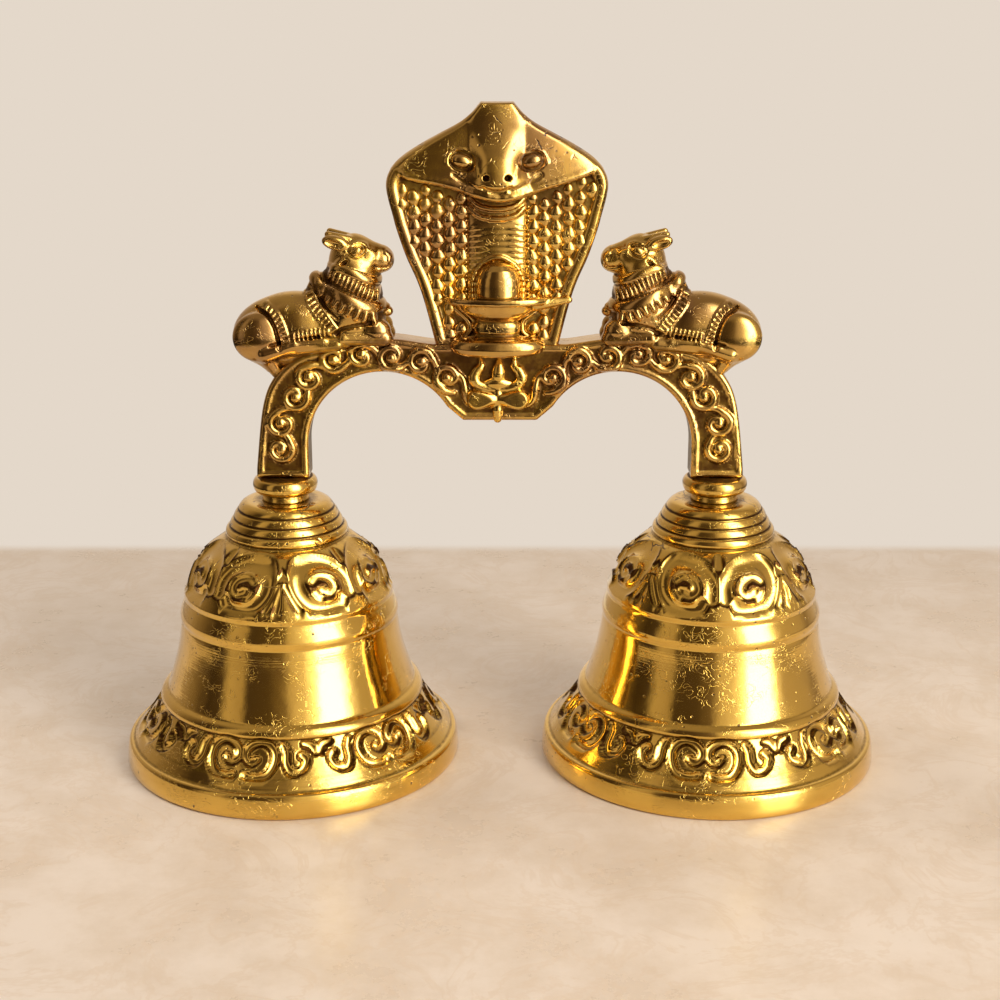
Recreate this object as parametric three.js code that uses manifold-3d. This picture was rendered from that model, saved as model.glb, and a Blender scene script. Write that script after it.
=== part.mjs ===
// Double bell: two turned hand bells under one arched handle that carries a
// cobra hood, a lingam on its stand, a trident and two lying bulls.
// Millimetres, +Z up, X along the pair of bells, Y from front to back.
// The origin lies on the table, midway between the two bells.

import * as THREE from 'three';
import { mergeVertices } from 'three/addons/utils/BufferGeometryUtils.js';
import Module from 'manifold-3d';

const wasm = await Module();
wasm.setup();

// Clearances
const SEAT_GAP = 0.3; // a shaped piece to the piece that it is fitted to
const BORE_GAP = 0.3; // a stem to its bore, on the radius
const LINK_GAP = 0.3; // wire to wire where two rings hang in each other

// Bells
const BELL_SPACING = 92.9;
const BELL_WALL = 2.6;
const LIP_RADIUS = 37;
const LIP_TAPER = 0.7;
const LIP_HEIGHT = 5.2;
const LIP_FACE = 3;
const LEDGE_WIDTH = 0.6;
const CAP_HEIGHT = 7.8;
const CROWN_THICKNESS = 4.2;
const CEILING_RADIUS = 7.6;
// Outside of the bell from the ledge to the shoulder: radius, height
const FLARE = [
  [33.3, 8], [29.2, 14], [26.3, 20], [24.2, 28], [22.8, 36], [21, 43], [17.5, 48],
];
const SHOULDER_RADIUS = 12.9;
const SHOULDER_HEIGHT = 50.9;
// Steps of the cap: radius, height above the shoulder
const CAP_STEPS = [
  [13.1, 0.1], [13, 2], [12.2, 2.4], [11.6, 3.9], [10.6, 5.9], [9.6, 7],
];
const CAP_TOP_RADIUS = 7.5;

// Raised scrolls on the bells, in two bands
const SCROLL_HALF_WIDTH = 0.95;
const SCROLL_TOP_HALF_WIDTH = 0.45;
const SCROLL_RISE = 0.8;
const SCROLL_ROOT = 0.5; // how deep a scroll is rooted in the wall
const LIP_BAND_RISE = 5.8; // middle of the lower band above the lip
const SHOULDER_BAND_DROP = 6.3; // middle of the upper band below the shoulder
// A stroke's points lie across and up from the middle of its repeat, as
// measured along the wall. Every stroke also has its mirror image.
const LIP_BAND = {
  middle: LIP_HEIGHT + LIP_BAND_RISE,
  steepness: 1.17, // length along the wall to height
  repeats: 6,
  turns: { left: -14, right: -7 }, // degrees from the front
  strokes: [
    [[1.7, -3.3], [4.4, -3.7], [7, -1.6], [7.2, 1.4], [5.2, 3.5], [2.4, 3.4], [0.7, 1.6]],
    [[8.2, 2.6], [9.5, 1], [10.3, -1.6], [12.4, -2.5], [14, -0.6], [13, 1.2]],
  ],
};
const SHOULDER_BAND = {
  middle: SHOULDER_HEIGHT - SHOULDER_BAND_DROP,
  steepness: 1.25,
  repeats: 4,
  turns: { left: 48, right: -2 },
  strokes: [
    [[0.2, 4.3], [3, 5.9], [7, 6.5], [11, 5], [13.1, 1], [11.9, -3.2], [8.5, -5.3], [4.7, -4.1]],
    [[2.2, 5.2], [2, 2], [4.8, 0.4]],
  ],
};

// Neck and collar between each bell and its leg
const NECK_RADIUS = 5;
const NECK_HEIGHT = 1.5;
const COLLAR_RADIUS = 6.95;
const COLLAR_FACE_RADIUS = 6.1;
const COLLAR_HEIGHT = 4;

// Bow
const BOW_THICKNESS = 8;
const BOW_EDGE = 0.9;
const LEG_WIDTH = 11.3;
const LEG_HEIGHT = 7.2; // foot to the spring of the finger arch
const ARCH_RISE = 16;
const ARM_DEPTH = 7.1; // arch to the top of the arm
const BRACKET_WIDTH = 17.6; // at the spring of the arches
const BRACKET_BOTTOM = 12.7; // above the foot
const BRACKET_FOOT_WIDTH = 15.6;
const BRACKET_TAPER = 3; // height over which the bracket narrows to its foot
const SADDLE_HEIGHT = 29.1; // foot to the flat under the hood
const SADDLE_LENGTH = 28;
// Outer edge of the shoulder: inboard of the leg's outer face, above the foot
const SHOULDER_LINE = [
  [0.3, 4], [1.9, 15.8], [4.5, 22], [9.4, 26.4], [16, 28.4],
];

// Eye bolt, washer and nut
const STEM_RADIUS = 2.3;
const STEM_DEPTH = 8; // into the leg
const STEM_BEVEL = 0.5;
const STEM_SHOWN = 1.3; // between the nut and the eye
const EYE_RADIUS = 3.4;
const EYE_WIRE = 1.3;
const WASHER_RADIUS = 5.5;
const WASHER_THICKNESS = 1;
const NUT_FLATS = 8;
const NUT_HEIGHT = 4;

// Link and clapper
const LINK_WIRE = 1;
const LINK_LENGTH = 9; // between the middles of its end wires
const CLAPPER_EYE_RADIUS = 3;
const CLAPPER_WIRE = 1.1;
const CLAPPER_LENGTH = 22.6; // its top wire to the middle of the ball
const ROD_RADIUS = 1.5;
const BALL_RADIUS = 7.5;

// Hood
const HOOD_OFFSET = -0.6; // it stands a little left of the middle
const HOOD_FACE = 3; // front face, ahead of the bow's mid plane
const HOOD_FULLNESS = 3; // 2 is an ellipse, more is a squarer section
// Height above the saddle, half width, front and back of the section
const HOOD_SECTIONS = [
  [0, 13, 3, 3.2], [8, 15, 3, 3.1], [13, 16.6, 3, 3], [18.3, 18.9, 3.1, 2.8],
  [23.9, 20.8, 3.6, 2.6], [27, 21.6, 5.6, 2.5], [30.5, 22.5, 8.4, 2.5], [33.5, 22.8, 8.3, 2.5],
  [36.2, 21.8, 7.4, 2.5], [38.8, 19.3, 6.2, 2.4], [41.3, 15.4, 4.9, 2.2],
  [43.3, 11.7, 3.8, 2], [45.5, 7.6, 2.6, 1.7], [47.3, 5.1, 1.8, 1.4], [48.7, 3.8, 1.2, 1],
];
const HOOD_HEIGHT = 49.7;
// Lower edge of the canopy: half width, height above the saddle
const CANOPY_EDGE = [
  [24, 38.6], [19, 36], [14, 34.8], [8.1, 32.7], [4, 31.3], [0, 30.7],
];

// Lingam stand, flattened against the hood
const STAND_DEPTH_RATIO = 0.5; // depth to width
const STAND_AXIS = 4.4; // ahead of the bow's mid plane
// Profile: radius, height above the saddle
const STAND_BASE = [[4, -1.8], [8, -1.2], [9.3, 0.1], [8.6, 1.4], [5.6, 2.6]];
const STAND_NECK = [[4.5, 3.4], [5.2, 4.2], [4.5, 5], [5.4, 6.3], [7.2, 7.8], [8.4, 8.9]];
const PLATE_RADIUS = 10.7;
const PLATE_HEIGHT = 9;
const PLATE_THICKNESS = 1.3;
const SPOUT_REACH = 14.4;
const SPOUT_WIDTH = 3.2;
const LINGAM_RADIUS = 4.2;
const LINGAM_HEIGHT = 17.2; // above the saddle

// Trident on the bracket
const TRIDENT_THICKNESS = 1.2;
const TRIDENT_SPREAD = 5.4;
const TRIDENT_TOP = 2.7; // below the saddle
const PRONG_WIDTH = 1.3;
const CROSSBAR_DROP = 5.6; // below the tip of the middle prong
const DRUM_DROP = 8.9;
const DRUM_HEIGHT = 3.4;
const DRUM_WIDTH = 10.2;
const DRUM_WAIST = 1.8;
const STAFF_LENGTH = 13.2;

// Bulls: distances inboard of the leg's axis, to the side and above the
// saddle, then radii along, across and up, and a tilt in degrees
const BULL_LUMPS = {
  rump: [-3.4, 0, 1.6, 6.4, 6.3, 6.4, 0],
  barrel: [4.2, 0, 3.9, 10.5, 6, 6.8, -4],
  chest: [15, 0, 5.2, 7.4, 5.8, 7.6, 0],
  hump: [9.3, 0, 10.9, 3.3, 3, 4, 0],
  skull: [15.2, 0, 18.9, 4.4, 3.5, 4, 20],
  muzzle: [21.7, 0, 17.4, 2.9, 2.4, 2.4, 10],
};
const BULL_PAIRS = {
  haunch: [-4, 4.4, 1.7, 5.6, 2.8, 5.2, 0],
  knee: [20.6, 3.4, 3, 3.2, 2.2, 2.6, 0],
};
// Limbs: start point, start radius, end point, end radius
const BULL_LIMBS = {
  neck: [15.4, 0, 7, 5.9, 15.9, 0, 18, 4.8],
  face: [16.4, 0, 18.9, 3.4, 21.6, 0, 17.6, 2.4],
  tail: [-4.4, 0, -2, 2.6, -2.2, 0, -5.6, 1.2],
};
const BULL_LIMB_PAIRS = {
  foreleg: [22.3, 3.2, 1.8, 2, 13.6, 4.4, 1.4, 1.5],
  hind_leg: [-2.6, 5, -1.6, 2, 9.6, 5, 0.6, 1.4],
  ear: [13.2, 2.2, 20.6, 1.3, 10.3, 3.2, 22.2, 0.8],
};
const BULL_DEPTH = 16; // wider than any bull, for its saddle cut
const BULL_STEP = { left: 0, right: 1.1 }; // how far each bull sits further inboard

// Fineness of round shapes
const BELL_SEGMENTS = 44;
const RING_SEGMENTS = 20;
const WIRE_SEGMENTS = 8;
const LUMP_SEGMENTS = 8;
const HOOD_RINGS = 20;
const HOOD_SEGMENTS = 26;
const MERGE_DISTANCE = 1e-4;

// Places that follow from the sizes
const legX = BELL_SPACING / 2;
const neckZ = SHOULDER_HEIGHT + CAP_HEIGHT;
const collarZ = neckZ + NECK_HEIGHT;
const footZ = collarZ + COLLAR_HEIGHT;
const saddleZ = footZ + SADDLE_HEIGHT;
const boreRadius = STEM_RADIUS + BORE_GAP;
const ceilingZ = neckZ - CROWN_THICKNESS;
const washerZ = ceilingZ - WASHER_THICKNESS;
const nutZ = washerZ - NUT_HEIGHT;
const eyeZ = nutZ - STEM_SHOWN - EYE_WIRE - EYE_RADIUS;
const linkTopZ = eyeZ - EYE_RADIUS + EYE_WIRE + LINK_WIRE + LINK_GAP;
const linkBottomZ = linkTopZ - LINK_LENGTH;
const clapperTopZ = linkBottomZ + LINK_WIRE + CLAPPER_WIRE + LINK_GAP;
const ballZ = clapperTopZ - CLAPPER_LENGTH;
const bowFront = BOW_THICKNESS / 2;

const vec = (x, y) => new THREE.Vector2(x, y);

// Merges a geometry's seams and drops the slivers at its poles.
function welded(geometry) {
  const bare = geometry.clone();
  bare.deleteAttribute('normal');
  bare.deleteAttribute('uv');
  const merged = mergeVertices(bare, MERGE_DISTANCE);
  const kept = [];
  const index = merged.index.array;
  for (let i = 0; i < index.length; i += 3) {
    const [a, b, c] = [index[i], index[i + 1], index[i + 2]];
    if (a !== b && b !== c && c !== a) kept.push(a, b, c);
  }
  merged.setIndex(kept);
  return merged;
}

function solidOf(geometry) {
  const shell = welded(geometry);
  return new wasm.Manifold(new wasm.Mesh({
    numProp: 3,
    vertProperties: new Float32Array(shell.attributes.position.array),
    triVerts: new Uint32Array(shell.index.array),
  }));
}

function geometryOf(solid) {
  const mesh = solid.getMesh();
  const geometry = new THREE.BufferGeometry();
  geometry.setAttribute('position', new THREE.BufferAttribute(mesh.vertProperties, 3));
  geometry.setIndex(new THREE.BufferAttribute(mesh.triVerts, 1));
  geometry.computeVertexNormals();
  return geometry;
}

function joined(geometries) {
  return geometries.map(solidOf).reduce((whole, next) => whole.add(next));
}

// Turns a profile of radius and height about the Z axis. It runs up the
// outside and either ends on the axis or comes back down the inside.
function turned(profile, segments = RING_SEGMENTS) {
  const points = profile.map(([radius, height]) => vec(radius, height));
  return new THREE.LatheGeometry(points, segments).rotateX(Math.PI / 2);
}

function turnedRing(profile, segments = RING_SEGMENTS) {
  return turned([...profile, profile[0]], segments);
}

// Stands an outline in the XZ plane upright, centred on Y.
function upright(shape, thickness, edge = 0) {
  const geometry = new THREE.ExtrudeGeometry(shape, {
    depth: thickness - 2 * edge,
    bevelEnabled: edge > 0,
    bevelThickness: edge,
    bevelSize: edge,
    bevelOffset: -edge,
    bevelSegments: 2,
  });
  return geometry.rotateX(Math.PI / 2).translate(0, thickness / 2 - edge, 0);
}

// Skins a stack of rings that have the same number of points, and closes
// both ends. Each ring turns anticlockwise, seen from the next one.
function skinned(rings) {
  const count = rings[0].length;
  const points = rings.flat();
  const index = [];
  for (let ring = 0; ring + 1 < rings.length; ring += 1) {
    for (let i = 0; i < count; i += 1) {
      const a = ring * count + i;
      const b = ring * count + ((i + 1) % count);
      index.push(a, b, b + count, a, b + count, a + count);
    }
  }
  const last = (rings.length - 1) * count;
  for (let i = 1; i + 1 < count; i += 1) {
    index.push(0, i + 1, i);
    index.push(last, last + i, last + i + 1);
  }
  const geometry = new THREE.BufferGeometry().setFromPoints(points);
  geometry.setIndex(index);
  return geometry;
}

// Bell

// The flare and the same curve one wall further in.
function bellCurves() {
  const start = [LIP_RADIUS - LIP_TAPER - LEDGE_WIDTH, LIP_HEIGHT];
  const knots = [start, ...FLARE, [SHOULDER_RADIUS, SHOULDER_HEIGHT]];
  const curve = new THREE.SplineCurve(knots.map(([r, z]) => vec(r, z)));
  const inside = (share) => {
    const point = curve.getPoint(share);
    const along = curve.getTangent(share);
    return [point.x - along.y * BELL_WALL, point.y + along.x * BELL_WALL];
  };
  const outer = curve.getPoints(8).map((point) => [point.x, point.y]);
  const shares = [1, 0.8, 0.6, 0.4, 0.2, 0];
  return { outer, inner: shares.map(inside) };
}

// Radius of the bell's outside at a height, and the way it faces.
function wallAt(outer, height) {
  const found = outer.findIndex(([, z]) => z > height);
  const end = found < 0 ? outer.length - 1 : Math.max(found, 1);
  const [startRadius, startZ] = outer[end - 1];
  const [endRadius, endZ] = outer[end];
  const length = Math.hypot(endRadius - startRadius, endZ - startZ);
  const share = (height - startZ) / (endZ - startZ);
  const radius = startRadius + (endRadius - startRadius) * share;
  return { radius, outwards: (endZ - startZ) / length, upwards: (startRadius - endRadius) / length };
}

// A raised stroke on the bell's outside, in a repeat at an angle from the front.
function stroke(points, outer, band, angle, flip) {
  const places = points.map(([across, up]) => {
    const height = band.middle + up / band.steepness;
    const { radius, outwards, upwards } = wallAt(outer, height);
    const turn = angle + (flip * across) / radius;
    const facing = new THREE.Vector3(Math.sin(turn), -Math.cos(turn), 0);
    const at = facing.clone().multiplyScalar(radius).setZ(height);
    const normal = facing.multiplyScalar(outwards).setZ(upwards);
    return { at, normal };
  });
  return skinned(places.map(({ at, normal }, i) => {
    const before = places[Math.max(i - 1, 0)].at;
    const after = places[Math.min(i + 1, places.length - 1)].at;
    const aside = normal.clone().cross(after.clone().sub(before)).normalize();
    const corner = (wide, high) => (
      at.clone().addScaledVector(aside, wide).addScaledVector(normal, high)
    );
    return [
      corner(SCROLL_HALF_WIDTH, -SCROLL_ROOT), corner(SCROLL_TOP_HALF_WIDTH, SCROLL_RISE),
      corner(-SCROLL_TOP_HALF_WIDTH, SCROLL_RISE), corner(-SCROLL_HALF_WIDTH, -SCROLL_ROOT),
    ];
  }));
}

function scrolls(outer, band, sideName) {
  const strokes = [];
  for (let i = 0; i < band.repeats; i += 1) {
    const angle = THREE.MathUtils.degToRad(band.turns[sideName]) + (i / band.repeats) * 2 * Math.PI;
    for (const points of band.strokes) {
      for (const flip of [-1, 1]) strokes.push(stroke(points, outer, band, angle, flip));
    }
  }
  return strokes;
}

function bell(sideName) {
  const { outer, inner } = bellCurves();
  const body = turnedRing([
    [LIP_RADIUS - LIP_FACE, 0],
    [LIP_RADIUS, 0],
    [LIP_RADIUS - LIP_TAPER, LIP_HEIGHT],
    ...outer,
    ...CAP_STEPS.map(([radius, height]) => [radius, SHOULDER_HEIGHT + height]),
    [CAP_TOP_RADIUS, neckZ],
    [boreRadius, neckZ],
    [boreRadius, ceilingZ],
    [CEILING_RADIUS, ceilingZ],
    ...inner,
  ], BELL_SEGMENTS);
  return geometryOf(joined([
    body, ...scrolls(outer, LIP_BAND, sideName), ...scrolls(outer, SHOULDER_BAND, sideName),
  ]));
}

function neckSpacer() {
  return turnedRing([
    [boreRadius, neckZ], [NECK_RADIUS, neckZ], [NECK_RADIUS, collarZ], [boreRadius, collarZ],
  ]);
}

function collar() {
  const middle = (collarZ + footZ) / 2;
  const quarter = COLLAR_HEIGHT / 4;
  const swell = (COLLAR_RADIUS + COLLAR_FACE_RADIUS) / 2;
  return turnedRing([
    [boreRadius, collarZ],
    [COLLAR_FACE_RADIUS, collarZ],
    [swell, collarZ + quarter / 2],
    [COLLAR_RADIUS, middle - quarter / 2],
    [COLLAR_RADIUS, middle + quarter / 2],
    [swell, footZ - quarter / 2],
    [COLLAR_FACE_RADIUS, footZ],
    [boreRadius, footZ],
  ]);
}

// Bow

// Right half of the bow's outline, from the middle of the saddle round the
// shoulder, the foot and the finger arch to the middle of the bracket.
function bowHalf() {
  const outerX = legX + LEG_WIDTH / 2;
  const innerX = legX - LEG_WIDTH / 2;
  const springZ = footZ + LEG_HEIGHT;
  const archX = (innerX + BRACKET_WIDTH / 2) / 2;
  const archHalf = innerX - archX;
  const bracketZ = footZ + BRACKET_BOTTOM;
  const shoulder = SHOULDER_LINE.map(([inboard, height]) => vec(outerX - inboard, footZ + height));
  const crest = vec(archX, springZ + ARCH_RISE + ARM_DEPTH);
  const saddleEnd = vec(SADDLE_LENGTH / 2, saddleZ);
  const top = new THREE.SplineCurve([saddleEnd, crest, ...shoulder.reverse(), vec(outerX, footZ)]);
  const archEnd = Math.PI - Math.asin((bracketZ + BRACKET_TAPER - springZ) / ARCH_RISE);
  const arch = new THREE.EllipseCurve(archX, springZ, archHalf, ARCH_RISE, 0, archEnd);
  return [
    ...top.getSpacedPoints(26),
    vec(innerX, footZ),
    ...arch.getPoints(18),
    vec(BRACKET_FOOT_WIDTH / 2, bracketZ),
  ];
}

function bowShape() {
  const right = bowHalf();
  const left = right.map((point) => vec(-point.x, point.y)).reverse();
  return new THREE.Shape([...right, ...left]);
}

function handleBow() {
  const bow = upright(bowShape(), BOW_THICKNESS, BOW_EDGE);
  const depth = STEM_DEPTH + SEAT_GAP;
  const bores = [-legX, legX].map((x) => (
    turned([[0, -SEAT_GAP], [boreRadius, -SEAT_GAP], [boreRadius, depth], [0, depth]])
      .translate(x, 0, footZ)
  ));
  return geometryOf(bores.reduce((solid, bore) => solid.subtract(solidOf(bore)), solidOf(bow)));
}

// The bow's outline, one seat gap larger all round and far deeper, which
// leaves a saddle in whatever sits on the bow.
function bowCutter(depth) {
  const geometry = new THREE.ExtrudeGeometry(bowShape(), {
    depth,
    bevelThickness: SEAT_GAP,
    bevelSize: SEAT_GAP,
    bevelSegments: 1,
  });
  return solidOf(geometry.rotateX(Math.PI / 2).translate(0, depth / 2, 0));
}

// Hood

function hoodRing(height, halfWidth, front, back) {
  const ring = [];
  for (let i = 0; i < HOOD_SEGMENTS; i += 1) {
    const angle = (i / HOOD_SEGMENTS) * 2 * Math.PI;
    const across = Math.cos(angle);
    const deep = Math.sin(angle);
    const power = 2 / HOOD_FULLNESS;
    const x = HOOD_OFFSET + halfWidth * Math.sign(across) * Math.abs(across) ** power;
    const y = (deep > 0 ? back : front) * Math.sign(deep) * Math.abs(deep) ** power;
    ring.push(new THREE.Vector3(x, y, saddleZ + height));
  }
  return ring;
}

// Follows one column of the section table smoothly along the others.
function hoodSections() {
  const tip = [HOOD_HEIGHT, 2, 0.6, 0.6];
  const knots = [...HOOD_SECTIONS, tip];
  const sizes = new THREE.SplineCurve(knots.map(([height, halfWidth]) => vec(height, halfWidth)));
  const depths = new THREE.SplineCurve(knots.map(([, , front, back]) => vec(front, back)));
  const sections = [];
  for (let i = 0; i <= HOOD_RINGS; i += 1) {
    const share = i / HOOD_RINGS;
    const size = sizes.getPoint(share);
    const depth = depths.getPoint(share);
    sections.push([size.x, size.y, depth.x, depth.y]);
  }
  return sections;
}

function cobraHood() {
  const body = solidOf(skinned(hoodSections().map((section) => hoodRing(...section))));
  const edge = CANOPY_EDGE.map(([halfWidth, height]) => vec(halfWidth, saddleZ + height));
  const right = new THREE.SplineCurve(edge).getPoints(10);
  const left = right.slice(0, -1).map((point) => vec(-point.x, point.y)).reverse();
  const [widest] = CANOPY_EDGE;
  const below = new THREE.Shape([
    vec(-widest[0], footZ), vec(widest[0], footZ), ...right, ...left,
  ]);
  const reach = 2 * BOW_THICKNESS;
  const recess = upright(below, reach).translate(HOOD_OFFSET, -HOOD_FACE - reach / 2, 0);
  return geometryOf(body.subtract(solidOf(recess)));
}

// Lingam on its stand

function lingamStand() {
  const plateTop = PLATE_HEIGHT + PLATE_THICKNESS;
  const domeStart = LINGAM_HEIGHT - LINGAM_RADIUS * 0.7;
  const dome = new THREE.EllipseCurve(
    0, domeStart, LINGAM_RADIUS, LINGAM_HEIGHT - domeStart, 0, Math.PI / 2,
  );
  const profile = [
    [0, STAND_BASE[0][1]],
    ...STAND_BASE,
    ...STAND_NECK,
    [PLATE_RADIUS, PLATE_HEIGHT],
    [PLATE_RADIUS, plateTop],
    [LINGAM_RADIUS, plateTop],
    ...dome.getPoints(6).slice(0, -1).map((point) => [point.x, point.y]),
    [0, LINGAM_HEIGHT],
  ];
  const spout = new THREE.BoxGeometry(SPOUT_REACH, SPOUT_WIDTH, PLATE_THICKNESS)
    .translate(SPOUT_REACH / 2, 0, (PLATE_HEIGHT + plateTop) / 2);
  const pieces = [turned(profile), spout].map((geometry) => (
    geometry.scale(1, STAND_DEPTH_RATIO, 1).translate(0, -STAND_AXIS, saddleZ)
  ));
  const room = 2 * BOW_THICKNESS;
  const span = 3 * SPOUT_REACH;
  const behind = new THREE.BoxGeometry(span, room, 3 * LINGAM_HEIGHT)
    .translate(0, room / 2 - HOOD_FACE - SEAT_GAP, saddleZ);
  const under = new THREE.BoxGeometry(span, room, room)
    .translate(0, room / 2 - bowFront - SEAT_GAP, saddleZ - room / 2);
  return geometryOf(joined(pieces).subtract(solidOf(behind)).subtract(solidOf(under)));
}

// Trident and drum, in relief on the front of the bracket

function tridentEmblem() {
  const tipZ = saddleZ - TRIDENT_TOP;
  const barZ = tipZ - CROSSBAR_DROP;
  const drumZ = tipZ - DRUM_DROP;
  const half = PRONG_WIDTH / 2;
  const plate = (points) => (
    upright(new THREE.Shape(points), TRIDENT_THICKNESS)
      .translate(0, -bowFront - TRIDENT_THICKNESS / 2, 0)
  );
  const staff = plate([
    vec(-half, tipZ - STAFF_LENGTH), vec(half, tipZ - STAFF_LENGTH),
    vec(half, tipZ - PRONG_WIDTH), vec(0, tipZ), vec(-half, tipZ - PRONG_WIDTH),
  ]);
  const drumHalf = DRUM_HEIGHT / 2;
  const drum = plate([
    vec(-DRUM_WIDTH / 2, drumZ - drumHalf), vec(0, drumZ - DRUM_WAIST / 2),
    vec(DRUM_WIDTH / 2, drumZ - drumHalf), vec(DRUM_WIDTH / 2, drumZ + drumHalf),
    vec(0, drumZ + DRUM_WAIST / 2), vec(-DRUM_WIDTH / 2, drumZ + drumHalf),
  ]);
  const side = (sign) => {
    const line = new THREE.SplineCurve([
      vec(0, barZ), vec(sign * TRIDENT_SPREAD * 0.6, barZ + half),
      vec(sign * (TRIDENT_SPREAD - half), barZ + 2 * PRONG_WIDTH),
      vec(sign * TRIDENT_SPREAD * 0.72, tipZ),
    ]).getPoints(8);
    const inner = line.map((point, i) => (
      vec(point.x - sign * half * (1 - i / line.length), point.y + half * (1 - i / line.length))
    ));
    const outer = line.map((point, i) => (
      vec(point.x + sign * half * (1 - i / line.length), point.y - half * (1 - i / line.length))
    ));
    return plate([...outer, ...inner.reverse()]);
  };
  return geometryOf(joined([staff, drum, side(-1), side(1)]));
}

// Bulls

function lump([inboard, aside, height, along, across, up, tilt], side, step, flip = 1) {
  return new THREE.SphereGeometry(1, LUMP_SEGMENTS, LUMP_SEGMENTS / 2)
    .rotateX(Math.PI / 2)
    .scale(along, across, up)
    .rotateY(THREE.MathUtils.degToRad(-side * tilt))
    .translate(side * (legX - step - inboard), flip * aside, saddleZ + height);
}

// A tapered limb with round ends between two points.
function limb([x0, y0, z0, r0, x1, y1, z1, r1], side, step, flip = 1) {
  const at = (x, y, z) => (
    new THREE.Vector3(side * (legX - step - x), flip * y, saddleZ + z)
  );
  const start = at(x0, y0, z0);
  const end = at(x1, y1, z1);
  const along = end.clone().sub(start);
  const length = along.length();
  const foot = new THREE.EllipseCurve(0, 0, r0, r0, -Math.PI / 2, 0).getPoints(3);
  const head = new THREE.EllipseCurve(0, length, r1, r1, 0, Math.PI / 2).getPoints(3);
  const profile = [...foot, ...head].map((point) => vec(Math.max(point.x, 0), point.y));
  profile[0].x = 0;
  profile[profile.length - 1].x = 0;
  const turn = new THREE.Quaternion().setFromUnitVectors(
    new THREE.Vector3(0, 1, 0), along.normalize(),
  );
  return new THREE.LatheGeometry(profile, LUMP_SEGMENTS)
    .applyQuaternion(turn)
    .translate(start.x, start.y, start.z);
}

// side is -1 for the left bull and 1 for the right one.
function bull(side, step) {
  const pieces = [
    ...Object.values(BULL_LUMPS).map((sizes) => lump(sizes, side, step)),
    ...Object.values(BULL_LIMBS).map((sizes) => limb(sizes, side, step)),
  ];
  for (const flip of [-1, 1]) {
    pieces.push(...Object.values(BULL_PAIRS).map((sizes) => lump(sizes, side, step, flip)));
    pieces.push(...Object.values(BULL_LIMB_PAIRS).map((sizes) => limb(sizes, side, step, flip)));
  }
  return geometryOf(joined(pieces).subtract(bowCutter(BULL_DEPTH)));
}

// Bolt, washer, nut, link and clapper, all on the bell's axis

function eyeBolt() {
  const top = footZ + STEM_DEPTH;
  const bottom = eyeZ + EYE_RADIUS;
  const stem = turned([
    [0, bottom], [STEM_RADIUS, bottom], [STEM_RADIUS, top - STEM_BEVEL],
    [STEM_RADIUS - STEM_BEVEL, top], [0, top],
  ]);
  const eye = new THREE.TorusGeometry(EYE_RADIUS, EYE_WIRE, WIRE_SEGMENTS, RING_SEGMENTS)
    .rotateX(Math.PI / 2)
    .translate(0, 0, eyeZ);
  return geometryOf(joined([stem, eye]));
}

function washer() {
  return turnedRing([
    [boreRadius, washerZ], [WASHER_RADIUS, washerZ],
    [WASHER_RADIUS, ceilingZ], [boreRadius, ceilingZ],
  ]);
}

function nut() {
  const corner = NUT_FLATS / Math.sqrt(3);
  const corners = [0, 60, 120, 180, 240, 300].map((degrees) => {
    const angle = THREE.MathUtils.degToRad(degrees);
    return vec(corner * Math.cos(angle), corner * Math.sin(angle));
  });
  const shape = new THREE.Shape(corners);
  shape.holes.push(new THREE.Path().absarc(0, 0, boreRadius, 0, 2 * Math.PI, true));
  return new THREE.ExtrudeGeometry(shape, {
    depth: NUT_HEIGHT, bevelEnabled: false, curveSegments: RING_SEGMENTS / 2,
  }).translate(0, 0, nutZ);
}

// A long link in the YZ plane: a ring pulled apart at its middle.
function clapperLink() {
  const radius = Math.max(EYE_WIRE, CLAPPER_WIRE) + LINK_GAP + LINK_WIRE;
  const half = LINK_LENGTH / 2 - radius;
  const ring = new THREE.TorusGeometry(radius, LINK_WIRE, WIRE_SEGMENTS, RING_SEGMENTS)
    .rotateZ(Math.PI / RING_SEGMENTS)
    .rotateY(Math.PI / 2)
    .rotateX(Math.PI / 2);
  const position = ring.attributes.position;
  for (let i = 0; i < position.count; i += 1) {
    position.setZ(i, position.getZ(i) + Math.sign(position.getZ(i)) * half);
  }
  return ring.translate(0, 0, (linkTopZ + linkBottomZ) / 2);
}

function clapper() {
  const eyeMiddle = clapperTopZ - CLAPPER_EYE_RADIUS;
  const rodTop = eyeMiddle - CLAPPER_EYE_RADIUS;
  const join = Math.acos(ROD_RADIUS / BALL_RADIUS);
  const ball = new THREE.EllipseCurve(0, ballZ, BALL_RADIUS, BALL_RADIUS, -Math.PI / 2, join);
  const profile = ball.getPoints(11).map((point) => [Math.max(point.x, 0), point.y]);
  profile[0][0] = 0;
  const body = turned([...profile, [ROD_RADIUS, rodTop], [0, rodTop]]);
  const eye = new THREE.TorusGeometry(CLAPPER_EYE_RADIUS, CLAPPER_WIRE, WIRE_SEGMENTS, RING_SEGMENTS)
    .rotateX(Math.PI / 2)
    .translate(0, 0, eyeMiddle);
  return geometryOf(joined([body, eye]));
}

// Assembly

const clapperBrass = { color: 0xc99a45, roughness: 0.34, metalness: 1 };
const castBrass = { color: 0xb98838, roughness: 0.42, metalness: 1 };
const turnedBrass = { color: 0xd3a654, roughness: 0.26, metalness: 1 };
const steel = { color: 0x8d8c88, roughness: 0.45, metalness: 1 };

const doubleBell = new THREE.Group();

function place(name, geometry, finish, x = 0) {
  const mesh = new THREE.Mesh(geometry, new THREE.MeshStandardMaterial(finish));
  mesh.name = name;
  mesh.position.x = x;
  doubleBell.add(mesh);
}

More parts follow.
